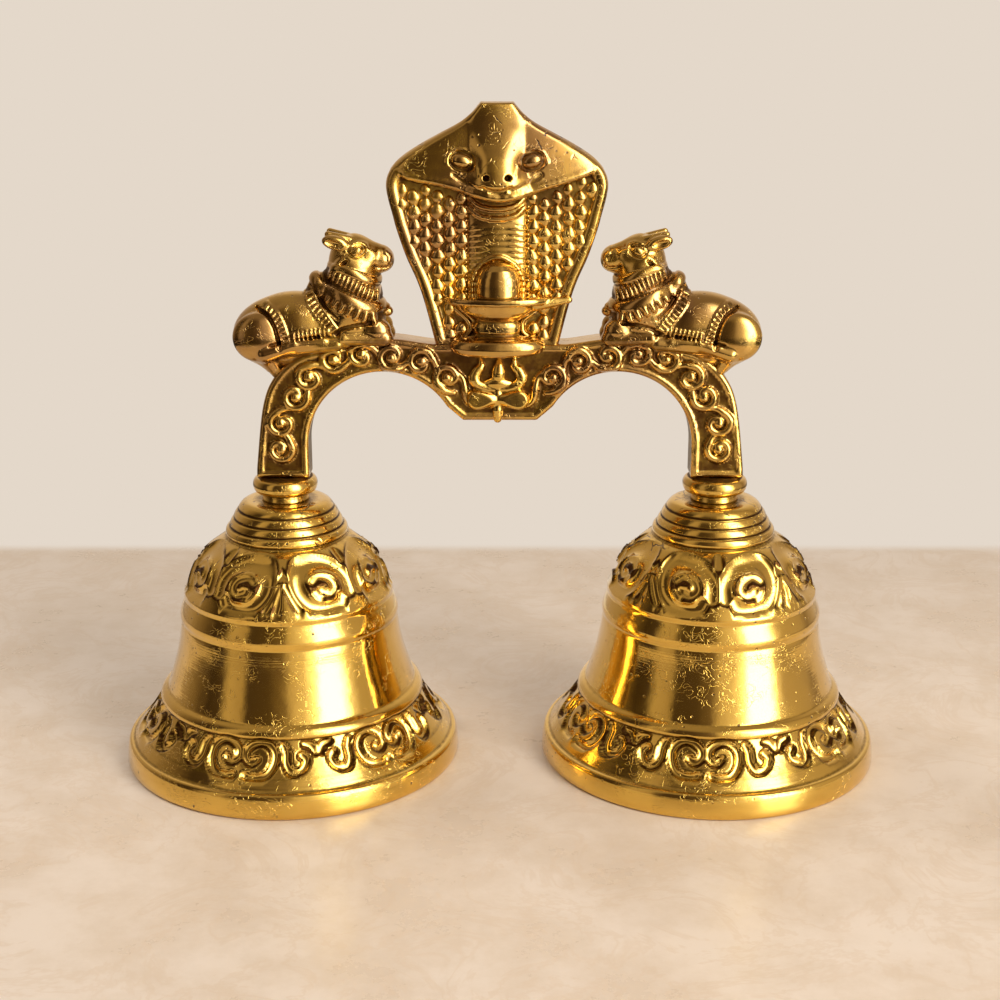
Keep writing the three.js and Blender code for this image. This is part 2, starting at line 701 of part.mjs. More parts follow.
place('handle_bow', handleBow(), castBrass);
place('cobra_hood', cobraHood(), castBrass);
place('lingam_stand', lingamStand(), castBrass);
place('trident_emblem', tridentEmblem(), castBrass);

for (const [sideName, side] of [['left', -1], ['right', 1]]) {
  const axis = side * legX;
  place(`bull_${sideName}`, bull(side, BULL_STEP[sideName]), castBrass);
  place(`collar_${sideName}`, collar(), turnedBrass, axis);
  place(`neck_spacer_${sideName}`, neckSpacer(), turnedBrass, axis);
  place(`bell_${sideName}`, bell(sideName), turnedBrass, axis);
  place(`eye_bolt_${sideName}`, eyeBolt(), steel, axis);
  place(`washer_${sideName}`, washer(), steel, axis);
  place(`nut_${sideName}`, nut(), steel, axis);
  place(`clapper_link_${sideName}`, clapperLink(), steel, axis);
  place(`clapper_${sideName}`, clapper(), clapperBrass, axis);
}

export default doubleBell;
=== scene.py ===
import math

import bmesh
import bpy
import numpy as np
import openvdb
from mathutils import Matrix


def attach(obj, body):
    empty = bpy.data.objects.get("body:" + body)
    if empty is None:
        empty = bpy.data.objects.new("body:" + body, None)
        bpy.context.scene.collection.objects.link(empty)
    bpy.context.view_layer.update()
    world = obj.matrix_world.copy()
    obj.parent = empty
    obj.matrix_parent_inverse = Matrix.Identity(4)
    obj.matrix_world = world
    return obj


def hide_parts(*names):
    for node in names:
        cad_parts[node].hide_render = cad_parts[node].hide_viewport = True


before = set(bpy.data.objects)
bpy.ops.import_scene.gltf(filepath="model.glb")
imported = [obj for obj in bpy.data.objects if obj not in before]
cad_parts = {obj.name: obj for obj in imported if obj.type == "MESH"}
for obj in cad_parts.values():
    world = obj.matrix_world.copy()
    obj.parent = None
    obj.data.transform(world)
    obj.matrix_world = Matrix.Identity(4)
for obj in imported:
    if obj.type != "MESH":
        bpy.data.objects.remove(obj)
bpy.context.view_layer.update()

bl_info = {
    "name": "Double bell",
    "version": (1, 0, 0),
    "blender": (4, 5, 0),
    "location": "3D View > Sidebar > Double bell",
    "description": "Dresses the packed model of a brass double bell with its relief and finishes",
    "category": "Object",
}

MM = 0.001
SIDES = (("left", -1), ("right", 1))
SOFT = {"interpolation_type": "SMOOTHSTEP"}

# Places of the assembly in mm: the legs' axes from the middle, then heights above the table
LEG_X = 46.45
NECK_Z = 58.7
COLLAR_Z = 60.2
FOOT_Z = 64.2
SADDLE_Z = 93.3


def linear(hex_colour):
    """A sRGB hex colour as linear red, green and blue."""
    parts = [int(hex_colour[i : i + 2], 16) / 255 for i in (1, 3, 5)]
    return [c / 12.92 if c <= 0.04045 else ((c + 0.055) / 1.055) ** 2.4 for c in parts]


def length(name, description, millimetres):
    """A size property in metres whose default is given in millimetres."""
    return bpy.props.FloatProperty(
        name=name, description=description, default=millimetres * MM, precision=5, subtype="DISTANCE",
        unit="LENGTH",
    )


def turn(name, description, degrees):
    """An angle property."""
    return bpy.props.FloatProperty(
        name=name, description=description, default=math.radians(degrees), subtype="ANGLE", unit="ROTATION"
    )


def power(name, description, watts):
    """The power of a lamp."""
    return bpy.props.FloatProperty(name=name, description=description, default=watts, unit="POWER")


def number(name, description, value):
    """A plain number."""
    return bpy.props.FloatProperty(name=name, description=description, default=value)


def whole_number(description, value, least, most):
    """A number of faces."""
    return bpy.props.IntProperty(name="Segments", description=description, default=value, min=least, max=most)


def colour(name, description, hex_colour):
    """A colour property, linear, whose default is a sRGB hex value."""
    return bpy.props.FloatVectorProperty(
        name=name, description=description, default=linear(hex_colour), subtype="COLOR", size=3, min=0, max=1
    )


class BellSizes(bpy.types.PropertyGroup):
    """Sizes of the two turned bells."""

    spacing: length("Spacing", "Distance between the axes of the two bells", 92.9)
    band_stroke: length("Band stroke", "Half width of the scrolls above the lip", 1.05)
    shoulder_stroke: length("Shoulder stroke", "Half width of the scrolls on the shoulder", 1.95)
    band_left: turn("Left band", "Angle of the scroll band of the left bell", -14)
    band_right: turn("Right band", "Angle of the scroll band of the right bell", -7)
    shoulder_left: turn("Left shoulder", "Angle of the shoulder scrolls of the left bell", 48)
    shoulder_right: turn("Right shoulder", "Angle of the shoulder scrolls of the right bell", -2)
    segments: whole_number("Faces round a bell", 480, 48, 600)


class CastingSizes(bpy.types.PropertyGroup):
    """Sizes of the bow and its figures."""

    bow_thickness: length("Bow thickness", "Thickness of the bow from front to back", 8)
    scroll_size: length("Scroll size", "Radius of a scroll on the bow", 2.7)
    scroll_stroke: length("Scroll stroke", "Half width of a scroll's line on the bow", 0.95)
    throat_pitch: length("Throat pitch", "Distance between two ribs of the throat", 1.2)
    scale_across: length("Scales across", "Distance between two columns of scales on the hood", 2.45)
    scale_up: length("Scales up", "Distance between two scales of a column", 3.05)
    right_bull_inboard: length("Right bull inboard", "How much nearer to the hood the right bull lies", 1.1)
    bow_cell: length("Bow detail", "Cell size of the bow's surface", 0.29)
    hood_cell: length("Hood detail", "Cell size of the hood's surface", 0.255)
    bull_cell: length("Bull detail", "Cell size of a bull's surface", 0.22)
    detail_cell: length("Relief detail", "Cell size of the stand and the trident", 0.18)


class FittingSizes(bpy.types.PropertyGroup):
    """Sizes of the turned fittings."""

    segments: whole_number("Faces round a fitting", 96, 24, 256)


class FinishColours(bpy.types.PropertyGroup):
    """Colours of the finishes."""

    brass: colour("Brass", "Polished brass", "#efc342")
    brass_deep: colour("Deep brass", "Brass where handling has darkened it", "#aa7b2a")
    # Patina colour, which also paints the shade in recesses, creases, joints and under the hood's canopy
    patina_and_shade: colour("Patina", "Old polish and tarnish in the recesses", "#4a2c0a")
    steel: colour("Steel", "Plain steel of bolt and link", "#8f8b85")
    rust: colour("Rust", "Specks on the steel", "#4a2c17")
    floor: colour("Floor", "Floor in front", "#e6d8cb")
    wall: colour("Background", "Floor far behind the object", "#e4d8ca")


class StageSettings(bpy.types.PropertyGroup):
    """Camera and lamps."""

    distance: length("Camera distance", "Camera to the point it looks at", 386)
    look_height: length("Look height", "Height of the point the camera looks at", 58.2)
    pitch: turn("Pitch", "How far the camera looks down", 16.9)
    lens: number("Lens", "Focal length in mm on a 36 mm sensor", 64.0)
    key_power: power("Key lamp", "Power of the large lamp on the right", 4.5)
    fill_power: power("Fill lamp", "Power of the lamp on the left", 2.4)
    room: number("Room light", "Strength of the light from all round", 0.45)
    window: number("Window", "Brightness of the window that the metal mirrors", 9.0)
    table_radius: length("Table radius", "Radius of the floor", 225)


def node(tree, kind, inputs=(), **settings):
    """Adds a node with its settings, and gives its sockets values and links by name or in their order."""
    made = tree.nodes.new(kind)
    for name, value in settings.items():
        setattr(made, name, value)
    for key, value in inputs.items() if isinstance(inputs, dict) else enumerate(inputs):
        socket = made.inputs[key]
        if isinstance(value, bpy.types.Node):
            value = value.outputs[0]
        if isinstance(value, bpy.types.NodeSocket):
            tree.links.new(value, socket)
        else:
            socket.default_value = value
    return made


def rgba(values):
    """Red, green and blue with full opacity."""
    return (*values, 1.0)


def smooth_path(points, count):
    """Points along a smooth curve through the given ones, which may have any number of columns."""
    knots = np.asarray(points, float)
    ends = np.vstack([2 * knots[0] - knots[1], knots, 2 * knots[-1] - knots[-2]])
    share = np.linspace(0, len(knots) - 1, count)
    first = np.minimum(share.astype(int), len(knots) - 2)
    t = (share - first)[:, None]
    a, b, c, d = (ends[first + i] for i in range(4))
    return 0.5 * (2 * b + (c - a) * t + (2 * a - 5 * b + 4 * c - d) * t**2 + (3 * b - a - 3 * c + d) * t**3)


def linked_object(name, data):
    """An object at the origin that shows a mesh, a lamp or a camera."""
    made = bpy.data.objects.new(name, data)
    bpy.context.scene.collection.objects.link(made)
    return made


def new_object(name, vertices, edges=(), faces=()):
    """An object at the origin from vertices in mm."""
    mesh = bpy.data.meshes.new(name)
    points = (np.asarray(vertices, float) * MM).tolist()
    mesh.from_pydata(points, [tuple(e) for e in edges], [tuple(f) for f in faces])
    mesh.update()
    return linked_object(name, mesh)


def point_values(mesh, name, values):
    """Stores one number for each vertex."""
    kept = mesh.attributes.get(name) or mesh.attributes.new(name, "FLOAT", "POINT")
    kept.data.foreach_set("value", np.asarray(values, np.float32))


def chain(name, points, closed=True, **values):
    """A line of edges through points, with named numbers at them, for a tree to work on."""
    count = len(points)
    edges = [(i, i + 1) for i in range(count - 1)] + ([(count - 1, 0)] if closed else [])
    made = new_object(name, points, edges)
    for key, numbers in values.items():
        point_values(made.data, key, numbers)
    return made


def faced_outwards(mesh):
    """Turns the faces of a closed mesh outwards, by the sign of its volume."""
    mesh.calc_loop_triangles()
    points = np.empty(len(mesh.vertices) * 3, np.float32)
    mesh.vertices.foreach_get("co", points)
    corners = np.empty(len(mesh.loop_triangles) * 3, np.int32)
    mesh.loop_triangles.foreach_get("vertices", corners)
    a, b, c = points.reshape(-1, 3)[corners.reshape(-1, 3)].transpose(1, 0, 2)
    if np.einsum("ij,ij->i", a, np.cross(b, c)).sum() < 0:
        mesh.flip_normals()


def baked(obj, name):
    """The evaluated object as a plain mesh object, with its faces outwards. The source is removed."""
    graph = bpy.context.evaluated_depsgraph_get()
    evaluated = obj.evaluated_get(graph)
    mesh = bpy.data.meshes.new_from_object(evaluated, preserve_all_data_layers=True, depsgraph=graph)
    mesh.name = name
    bpy.data.objects.remove(obj)
    faced_outwards(mesh)
    return linked_object(name, mesh)


def finished(obj, body, nodes):
    """Gives a piece its body and the CAD nodes that it stands for."""
    obj.data.shade_smooth()
    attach(obj, body)
    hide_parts(*nodes)


def use_tree(obj, tree, **inputs):
    """Adds a tree as a modifier and sets its inputs by their identifiers."""
    modifier = obj.modifiers.new(tree.name, "NODES")
    modifier.node_group = tree
    names = {item.name: item.identifier for item in tree.interface.items_tree if item.item_type == "SOCKET"}
    for key, value in inputs.items():
        modifier[names[key.replace("_", " ").capitalize()]] = value


def new_tree(name, sockets):
    """A geometry tree that takes a geometry and the named sockets, each with its kind."""
    tree = bpy.data.node_groups.new(name, "GeometryNodeTree")
    tree.is_modifier = True
    tree.interface.new_socket("Geometry", in_out="INPUT", socket_type="NodeSocketGeometry")
    for key, kind in sockets.items():
        tree.interface.new_socket(key, in_out="INPUT", socket_type="NodeSocket" + kind)
    tree.interface.new_socket("Geometry", in_out="OUTPUT", socket_type="NodeSocketGeometry")
    return tree, node(tree, "NodeGroupInput").outputs


def close_tree(tree, geometry, material):
    """Ends a tree in real geometry with its material."""
    real = node(tree, "GeometryNodeRealizeInstances", [geometry])
    dressed = node(tree, "GeometryNodeSetMaterial", {"Geometry": real, "Material": material})
    node(tree, "NodeGroupOutput", [dressed])


def turned_tree():
    """Turns a chain of edges about the vertical axis.

    The points of the chain hold the radius less the guide's, and the height.
    """
    sockets = {"Segments": "Int", "Guide radius": "Float", "Axis x": "Float", "Material": "Material"}
    tree, given = new_tree("Turned piece", sockets)
    line = node(tree, "GeometryNodeMeshToCurve", [given["Geometry"]])
    guide = node(
        tree, "GeometryNodeCurvePrimitiveCircle",
        {"Resolution": given["Segments"], "Radius": given["Guide radius"]},
    )
    shell = node(tree, "GeometryNodeCurveToMesh", {"Curve": guide, "Profile Curve": line})
    merged = node(tree, "GeometryNodeMergeByDistance", {"Geometry": shell, "Distance": 2e-6})
    place = node(tree, "ShaderNodeCombineXYZ", {"X": given["Axis x"]})
    moved = node(tree, "GeometryNodeTransform", {"Geometry": merged, "Translation": place})
    close_tree(tree, moved, given["Material"])
    return tree


def scroll_tree():
    """Raises rounded strokes along motif lines that repeat round a turned piece, and darkens the ground, with
    painted shade at the foot of each stroke.
    """
    sizes = ("Repeats", "Turn", "Low", "High", "Middle", "Slope", "Stroke", "Height", "Ground", "Axis x")
    sockets = {"Motif": "Object", **dict.fromkeys(sizes, "Float"), "Material": "Material"}
    tree, given = new_tree("Scroll band", sockets)
    stroke = given["Stroke"]
    # Each point's place in the unrolled band
    place = node(tree, "ShaderNodeSeparateXYZ", [node(tree, "GeometryNodeInputPosition")]).outputs
    across = node(tree, "ShaderNodeMath", [place["X"], given["Axis x"]], operation="SUBTRACT")
    ahead = node(tree, "ShaderNodeMath", [place["Y"], -1.0], operation="MULTIPLY")
    angle = node(tree, "ShaderNodeMath", [across, ahead], operation="ARCTAN2")
    turned = node(tree, "ShaderNodeMath", [angle, given["Turn"]], operation="SUBTRACT")
    half = node(tree, "ShaderNodeMath", [math.pi, given["Repeats"]], operation="DIVIDE")
    less_half = node(tree, "ShaderNodeMath", [half, -1.0], operation="MULTIPLY")
    local = node(tree, "ShaderNodeMath", [turned, half, less_half], operation="WRAP")
    flat = node(tree, "ShaderNodeCombineXYZ", [across, ahead])
    radius = node(tree, "ShaderNodeVectorMath", [flat], operation="LENGTH").outputs["Value"]
    along = node(tree, "ShaderNodeMath", [local, radius], operation="MULTIPLY")
    above = node(tree, "ShaderNodeMath", [place["Z"], given["Middle"]], operation="SUBTRACT")
    up = node(tree, "ShaderNodeMath", [above, given["Slope"]], operation="MULTIPLY")
    sample = node(tree, "ShaderNodeCombineXYZ", [along, up])
    motif = node(tree, "GeometryNodeObjectInfo", {"Object": given["Motif"]}, transform_space="ORIGINAL")
    near = node(
        tree, "GeometryNodeProximity",
        {"Geometry": motif.outputs["Geometry"], "Sample Position": sample}, target_element="EDGES",
    )
    distance = near.outputs["Distance"]
    # The band fades out at its low and high edge, and the inside of the wall stays plain
    edge = node(tree, "ShaderNodeMath", [stroke, 0.6], operation="MULTIPLY")
    low, low_end, high, high_end = (
        node(tree, "ShaderNodeMath", [given[key], edge], operation=way)
        for key in ("Low", "High") for way in ("SUBTRACT", "ADD")
    )
    rising = node(tree, "ShaderNodeMapRange", [place["Z"], low, low_end, 0.0, 1.0], **SOFT)
    falling = node(tree, "ShaderNodeMapRange", [place["Z"], high, high_end, 1.0, 0.0], **SOFT)
    band = node(tree, "ShaderNodeMath", [rising, falling], operation="MULTIPLY")
    outer = node(tree, "GeometryNodeInputNamedAttribute", {"Name": "outside"}, data_type="FLOAT")
    shown = node(tree, "ShaderNodeMath", [band, outer], operation="MULTIPLY")
    # A stroke is round in section
    wide = node(tree, "ShaderNodeMath", [stroke, 2.0], operation="POWER")
    far = node(tree, "ShaderNodeMath", [distance, 2.0], operation="POWER")
    inside = node(tree, "ShaderNodeMath", [wide, far], operation="SUBTRACT")
    inside = node(tree, "ShaderNodeMath", [inside, 0.0], operation="MAXIMUM")
    back = node(tree, "ShaderNodeMath", [inside, 0.5], operation="POWER")
    back = node(tree, "ShaderNodeMath", [back, given["Height"]], operation="MULTIPLY")
    rise = node(tree, "ShaderNodeMath", [back, shown], operation="MULTIPLY")
    normal = node(tree, "GeometryNodeInputNormal")
    offset = node(tree, "ShaderNodeVectorMath", {0: normal, "Scale": rise}, operation="SCALE")
    raised = node(tree, "GeometryNodeSetPosition", {"Geometry": given["Geometry"], "Offset": offset})
    # Painted shade: the ground is darkest at the foot of a stroke, and further out keeps the darkness that
    # Ground gives
    foot_in, foot_out, fade_in, fade_out = (
        node(tree, "ShaderNodeMath", [stroke, share], operation="MULTIPLY")
        for share in (0.84, 1.0, 1.05, 1.35)
    )
    painted_foot_shade = node(tree, "ShaderNodeMapRange", [distance, foot_in, foot_out, 0.0, 1.0], **SOFT)
    fade = node(tree, "ShaderNodeMapRange", [distance, fade_in, fade_out, 1.0, given["Ground"]], **SOFT)
    ground = node(tree, "ShaderNodeMath", [painted_foot_shade, fade], operation="MULTIPLY")
    ground = node(tree, "ShaderNodeMath", [ground, shown], operation="MULTIPLY")
    before = node(tree, "GeometryNodeInputNamedAttribute", {"Name": "hollow"}, data_type="FLOAT")
    darker = node(tree, "ShaderNodeMath", [before, ground], operation="MAXIMUM")
    marked = node(
        tree, "GeometryNodeStoreNamedAttribute", {"Geometry": raised, "Name": "hollow", "Value": darker},
        data_type="FLOAT", domain="POINT",
    )
    close_tree(tree, marked, given["Material"])
    return tree


def wire_tree():
    """Bends a round wire along a line of edges."""
    tree, given = new_tree("Bent wire", {"Wire radius": "Float", "Sides": "Int", "Material": "Material"})
    line = node(tree, "GeometryNodeMeshToCurve", [given["Geometry"]])
    section = node(
        tree, "GeometryNodeCurvePrimitiveCircle",
        {"Resolution": given["Sides"], "Radius": given["Wire radius"]},
    )
    wire = node(tree, "GeometryNodeCurveToMesh", {"Curve": line, "Profile Curve": section})
    close_tree(tree, wire, given["Material"])
    return tree


def beads_tree():
    """Sets a bead on each point, as large and as far turned as the numbers at the point say.

    Facets is 0 for a round bead and 1 for one whose outline from the front is a rhombus.
    """
    tree, given = new_tree(
        "Beads", {"Segments": "Int", "Rings": "Int", "Facets": "Float", "Material": "Material"}
    )
    ball = node(
        tree, "GeometryNodeMeshUVSphere",
        {"Segments": given["Segments"], "Rings": given["Rings"], "Radius": 1.0},
    )
    place = node(tree, "GeometryNodeInputPosition")
    parts = node(tree, "ShaderNodeSeparateXYZ", [place]).outputs
    flat = node(tree, "ShaderNodeCombineXYZ", {"X": parts["X"], "Z": parts["Z"]})
    unit = node(tree, "ShaderNodeVectorMath", [flat], operation="NORMALIZE")
    size_of = node(tree, "ShaderNodeVectorMath", [unit], operation="ABSOLUTE")
    reach = node(tree, "ShaderNodeVectorMath", [size_of, (1.0, 1.0, 1.0)], operation="DOT_PRODUCT")
    least = node(tree, "ShaderNodeMath", [reach.outputs["Value"], 1.0], operation="MAXIMUM")
    bend = node(tree, "ShaderNodeMath", [given["Facets"], -1.0], operation="MULTIPLY")
    shrink = node(tree, "ShaderNodeMath", [least, bend], operation="POWER")
    cut = node(tree, "ShaderNodeVectorMath", {0: place, "Scale": shrink}, operation="SCALE")
    faceted = node(tree, "GeometryNodeSetPosition", {"Geometry": ball.outputs["Mesh"], "Position": cut})
    # Painted shade: each bead darkens towards its back, where it meets the surface
    painted_base_shade = node(tree, "ShaderNodeMapRange", [parts["Y"], -0.5, 0.15, 0.0, 0.9], **SOFT)
    bead = node(
        tree, "GeometryNodeStoreNamedAttribute", {"Geometry": faceted, "Name": "hollow", "Value": painted_base_shade},
        data_type="FLOAT", domain="POINT",
    )
    size = node(tree, "GeometryNodeInputNamedAttribute", {"Name": "size"}, data_type="FLOAT_VECTOR")
    lean = node(tree, "GeometryNodeInputNamedAttribute", {"Name": "lean"}, data_type="FLOAT")
    spin = node(tree, "ShaderNodeCombineXYZ", {"Y": lean})
    placed = node(
        tree, "GeometryNodeInstanceOnPoints",
        {"Points": given["Geometry"], "Instance": bead, "Rotation": spin, "Scale": size},
    )
    close_tree(tree, placed, given["Material"])
    return tree


# Outside of a bell, from the inner edge of its lip to the bore: radius, height
# and how dark the patina and painted shade lie there; the feet of the cap's tiers hold painted shade
LIP = [
    (34.3, 0, 0.2), (36.3, 0, 0.2), (36.8, 0.15, 0), (37, 0.6, 0), (36.96, 1.6, 0), (36.8, 3.2, 0),
    (36.6, 4.4, 0), (36.42, 4.95, 0), (36.15, 5.25, 0), (35.85, 5.33, 0.1), (35.5, 5.36, 0.5),
    (35.2, 5.5, 0.6),
]
LEDGE = [(35.2, 5.5, 0.6), (34.75, 6.1, 0.15), (34.2, 6.8, 0.1), (33.7, 7.45, 0.3)]
BAND = [(33.55, 7.65, 0.5), (32.2, 9.4, 0.1), (30.9, 11.3, 0.1), (29.75, 13.1, 0.1), (29, 14.3, 0.4)]
MOULDING = [
    (28.85, 14.5, 0.9), (28.95, 14.75, 0.5), (29, 15.2, 0), (28.75, 15.9, 0), (28.2, 16.5, 0),
    (27.6, 16.85, 0.3), (27.3, 17.05, 0.4),
]
FLARE = [
    (27.1, 17.5, 0), (26.3, 20, 0), (25.1, 24, 0), (24.25, 28, 0), (23.8, 31.2, 0), (23.62, 32.2, 0.1),
    (23.85, 33.1, 0), (23.8, 34.3, 0), (23.2, 36, 0), (22.62, 37.3, 0.1), (22.8, 38.3, 0), (22.7, 39, 0),
]
SHOULDER = [
    (22.1, 40, 0), (21.75, 41.4, 0), (21.1, 43.2, 0), (20.1, 45.2, 0), (18.7, 47.1, 0), (16.9, 48.7, 0),
    (15.1, 49.9, 0.1), (13.3, 50.75, 0.5),
]
CAP_TIERS = [
    [
        (12.95, 50.9, 1), (13.05, 51.2, 1), (13.22, 51.6, 0), (13.2, 52.2, 0), (12.95, 52.75, 0),
        (12.6, 53, 0.4),
    ],
    [(12.15, 53.1, 1), (12.25, 53.35, 1), (12.2, 53.8, 0), (11.85, 54.5, 0), (11.6, 54.75, 0.3)],
    [(11.25, 54.85, 1), (11.35, 55.1, 1), (11.25, 55.6, 0), (10.85, 56.3, 0), (10.6, 56.6, 0.3)],
    [
        (10.25, 56.7, 1), (10.35, 56.95, 1), (10.05, 57.5, 0), (9.4, 58.2, 0), (8.5, 58.6, 0),
        (7.5, 58.7, 0.1), (6.2, 58.7, 0.6), (2.6, 58.7, 0.8),
    ],
]
# Inside of a bell, darkened throughout as painted shade
INSIDE = [
    (2.6, 54.5, 0.6), (7.6, 54.5, 0.6), (9.8, 53.6, 0.6), (12.5, 51.6, 0.6), (15.8, 48, 0.6),
    (18.3, 43.5, 0.6), (20, 38, 0.6), (21, 32, 0.5), (22.3, 26, 0.5), (24.4, 20, 0.5), (27.2, 14.5, 0.5),
    (30.6, 9.4, 0.5), (32.9, 6, 0.5), (33.9, 3, 0.4), (34.1, 0.6, 0.3),
]


def bell_profile():
    """The closed section of a bell and which of its points lie outside."""
    outer = LIP + list(smooth_path(LEDGE, 5)[1:])
    for part, count in ((BAND, 30), (MOULDING, 13), (FLARE, 34), (SHOULDER, 42)):
        outer += list(smooth_path(part, count))
    for tier in CAP_TIERS:
        outer += list(smooth_path(tier, 2 * len(tier)))[: 2 * len(tier) - 1]
    outer.append(CAP_TIERS[-1][-1])
    inner = INSIDE[:1] + list(smooth_path(INSIDE[1:], 22))
    return np.array(outer + inner), np.arange(len(outer) + len(inner)) < len(outer)


def mirrored(strokes):
    """Strokes and their mirror images left and right."""
    return strokes + [[(-u, v, sink) for u, v, sink in stroke] for stroke in strokes]


# Scrolls in mm: across, up and how deep a stroke's middle lies below the
# surface, which makes it thinner and lower
BAND_MOTIF = mirrored([
    [
        (1.5, -3.4, 0.1), (3.2, -3.8, 0), (5.7, -3.1, 0), (7, -1, 0), (6.9, 1.5, 0), (5.2, 3.3, 0),
        (2.9, 3.5, 0), (1, 2.1, 0.1), (0.9, 0.3, 0.2), (2.2, -0.7, 0.1), (3.2, 0, 0),
    ],
    [
        (8.3, 3, 0.6), (9.2, 1.4, 0.2), (9.7, -0.8, 0.1), (11.2, -2.5, 0.1), (13.2, -2, 0),
        (13.7, -0.2, 0), (12.6, 0.9, 0.2),
    ],
    [(12.6, 3.2, 0.7), (14.2, 2.7, 0.3), (15.4, 1.4, 0.3)],
])
SHOULDER_MOTIF = mirrored([
    [
        (1.5, -2.2, 0.8), (1.5, 1.2, 0.5), (3, 4, 0.2), (6.2, 5.3, 0), (9.6, 4.6, 0), (11.9, 2.1, 0),
        (12.3, -1.2, 0), (10.6, -4.2, 0), (7.4, -5.4, 0), (4.6, -4.7, 0.5), (3.5, -3, 1.1),
    ],
    [
        (9.2, 1.5, 1.6), (7.4, 2.6, 1.5), (5.3, 1.8, 1.45), (4.8, -0.2, 1.5), (6.2, -1.6, 1.5),
        (7.7, -0.9, 1.35),
    ],
    [(9.4, -1.2, 1.7), (8.6, -2.6, 1.6)],
    [(15.8, 6.2, 1.6), (14.8, 4.2, 1.5), (14.4, 2.6, 1.6)],
    [(14.9, 0.6, 1.65), (14.4, -2.2, 1.6), (13.7, -5, 1.7)],
]) + [[(0, 6.4, 1.7), (0, 4.9, 1.6)], [(16, 1.8, 1.6), (16, -1.6, 1.5), (16, -5.4, 1.7)]]


# Bands of scrolls on a bell: lines, number of motifs round it, heights in mm of the low edge, the high
# edge and the middle, length up the slope by its height, height and darkness of the ground as shares
SCROLL_BANDS = {
    "band": (BAND_MOTIF, 6.0, 7.4, 14.7, 11.0, 1.17, 0.95, 0.2),
    "shoulder": (SHOULDER_MOTIF, 4.0, 39.6, 50.3, 44.6, 1.25, 0.55, 0.0),
}


def motif(name, strokes):
    """The motif lines as an object that only the scroll tree reads."""
    points, edges = [], []
    for stroke in strokes:
        line = smooth_path(stroke, 6 * len(stroke))
        edges += [(len(points) + i, len(points) + i + 1) for i in range(len(line) - 1)]
        points += [(u, v, -sink) for u, v, sink in line]
    made = new_object(name, points, edges)
    made.hide_render = True
    return made


def new_material(name):
    """A material, its empty tree and the place on the object in metres."""
    material = bpy.data.materials.new(name)
    material.use_nodes = True
    tree = material.node_tree
    tree.nodes.clear()
    return material, tree, node(tree, "ShaderNodeTexCoord").outputs["Object"]


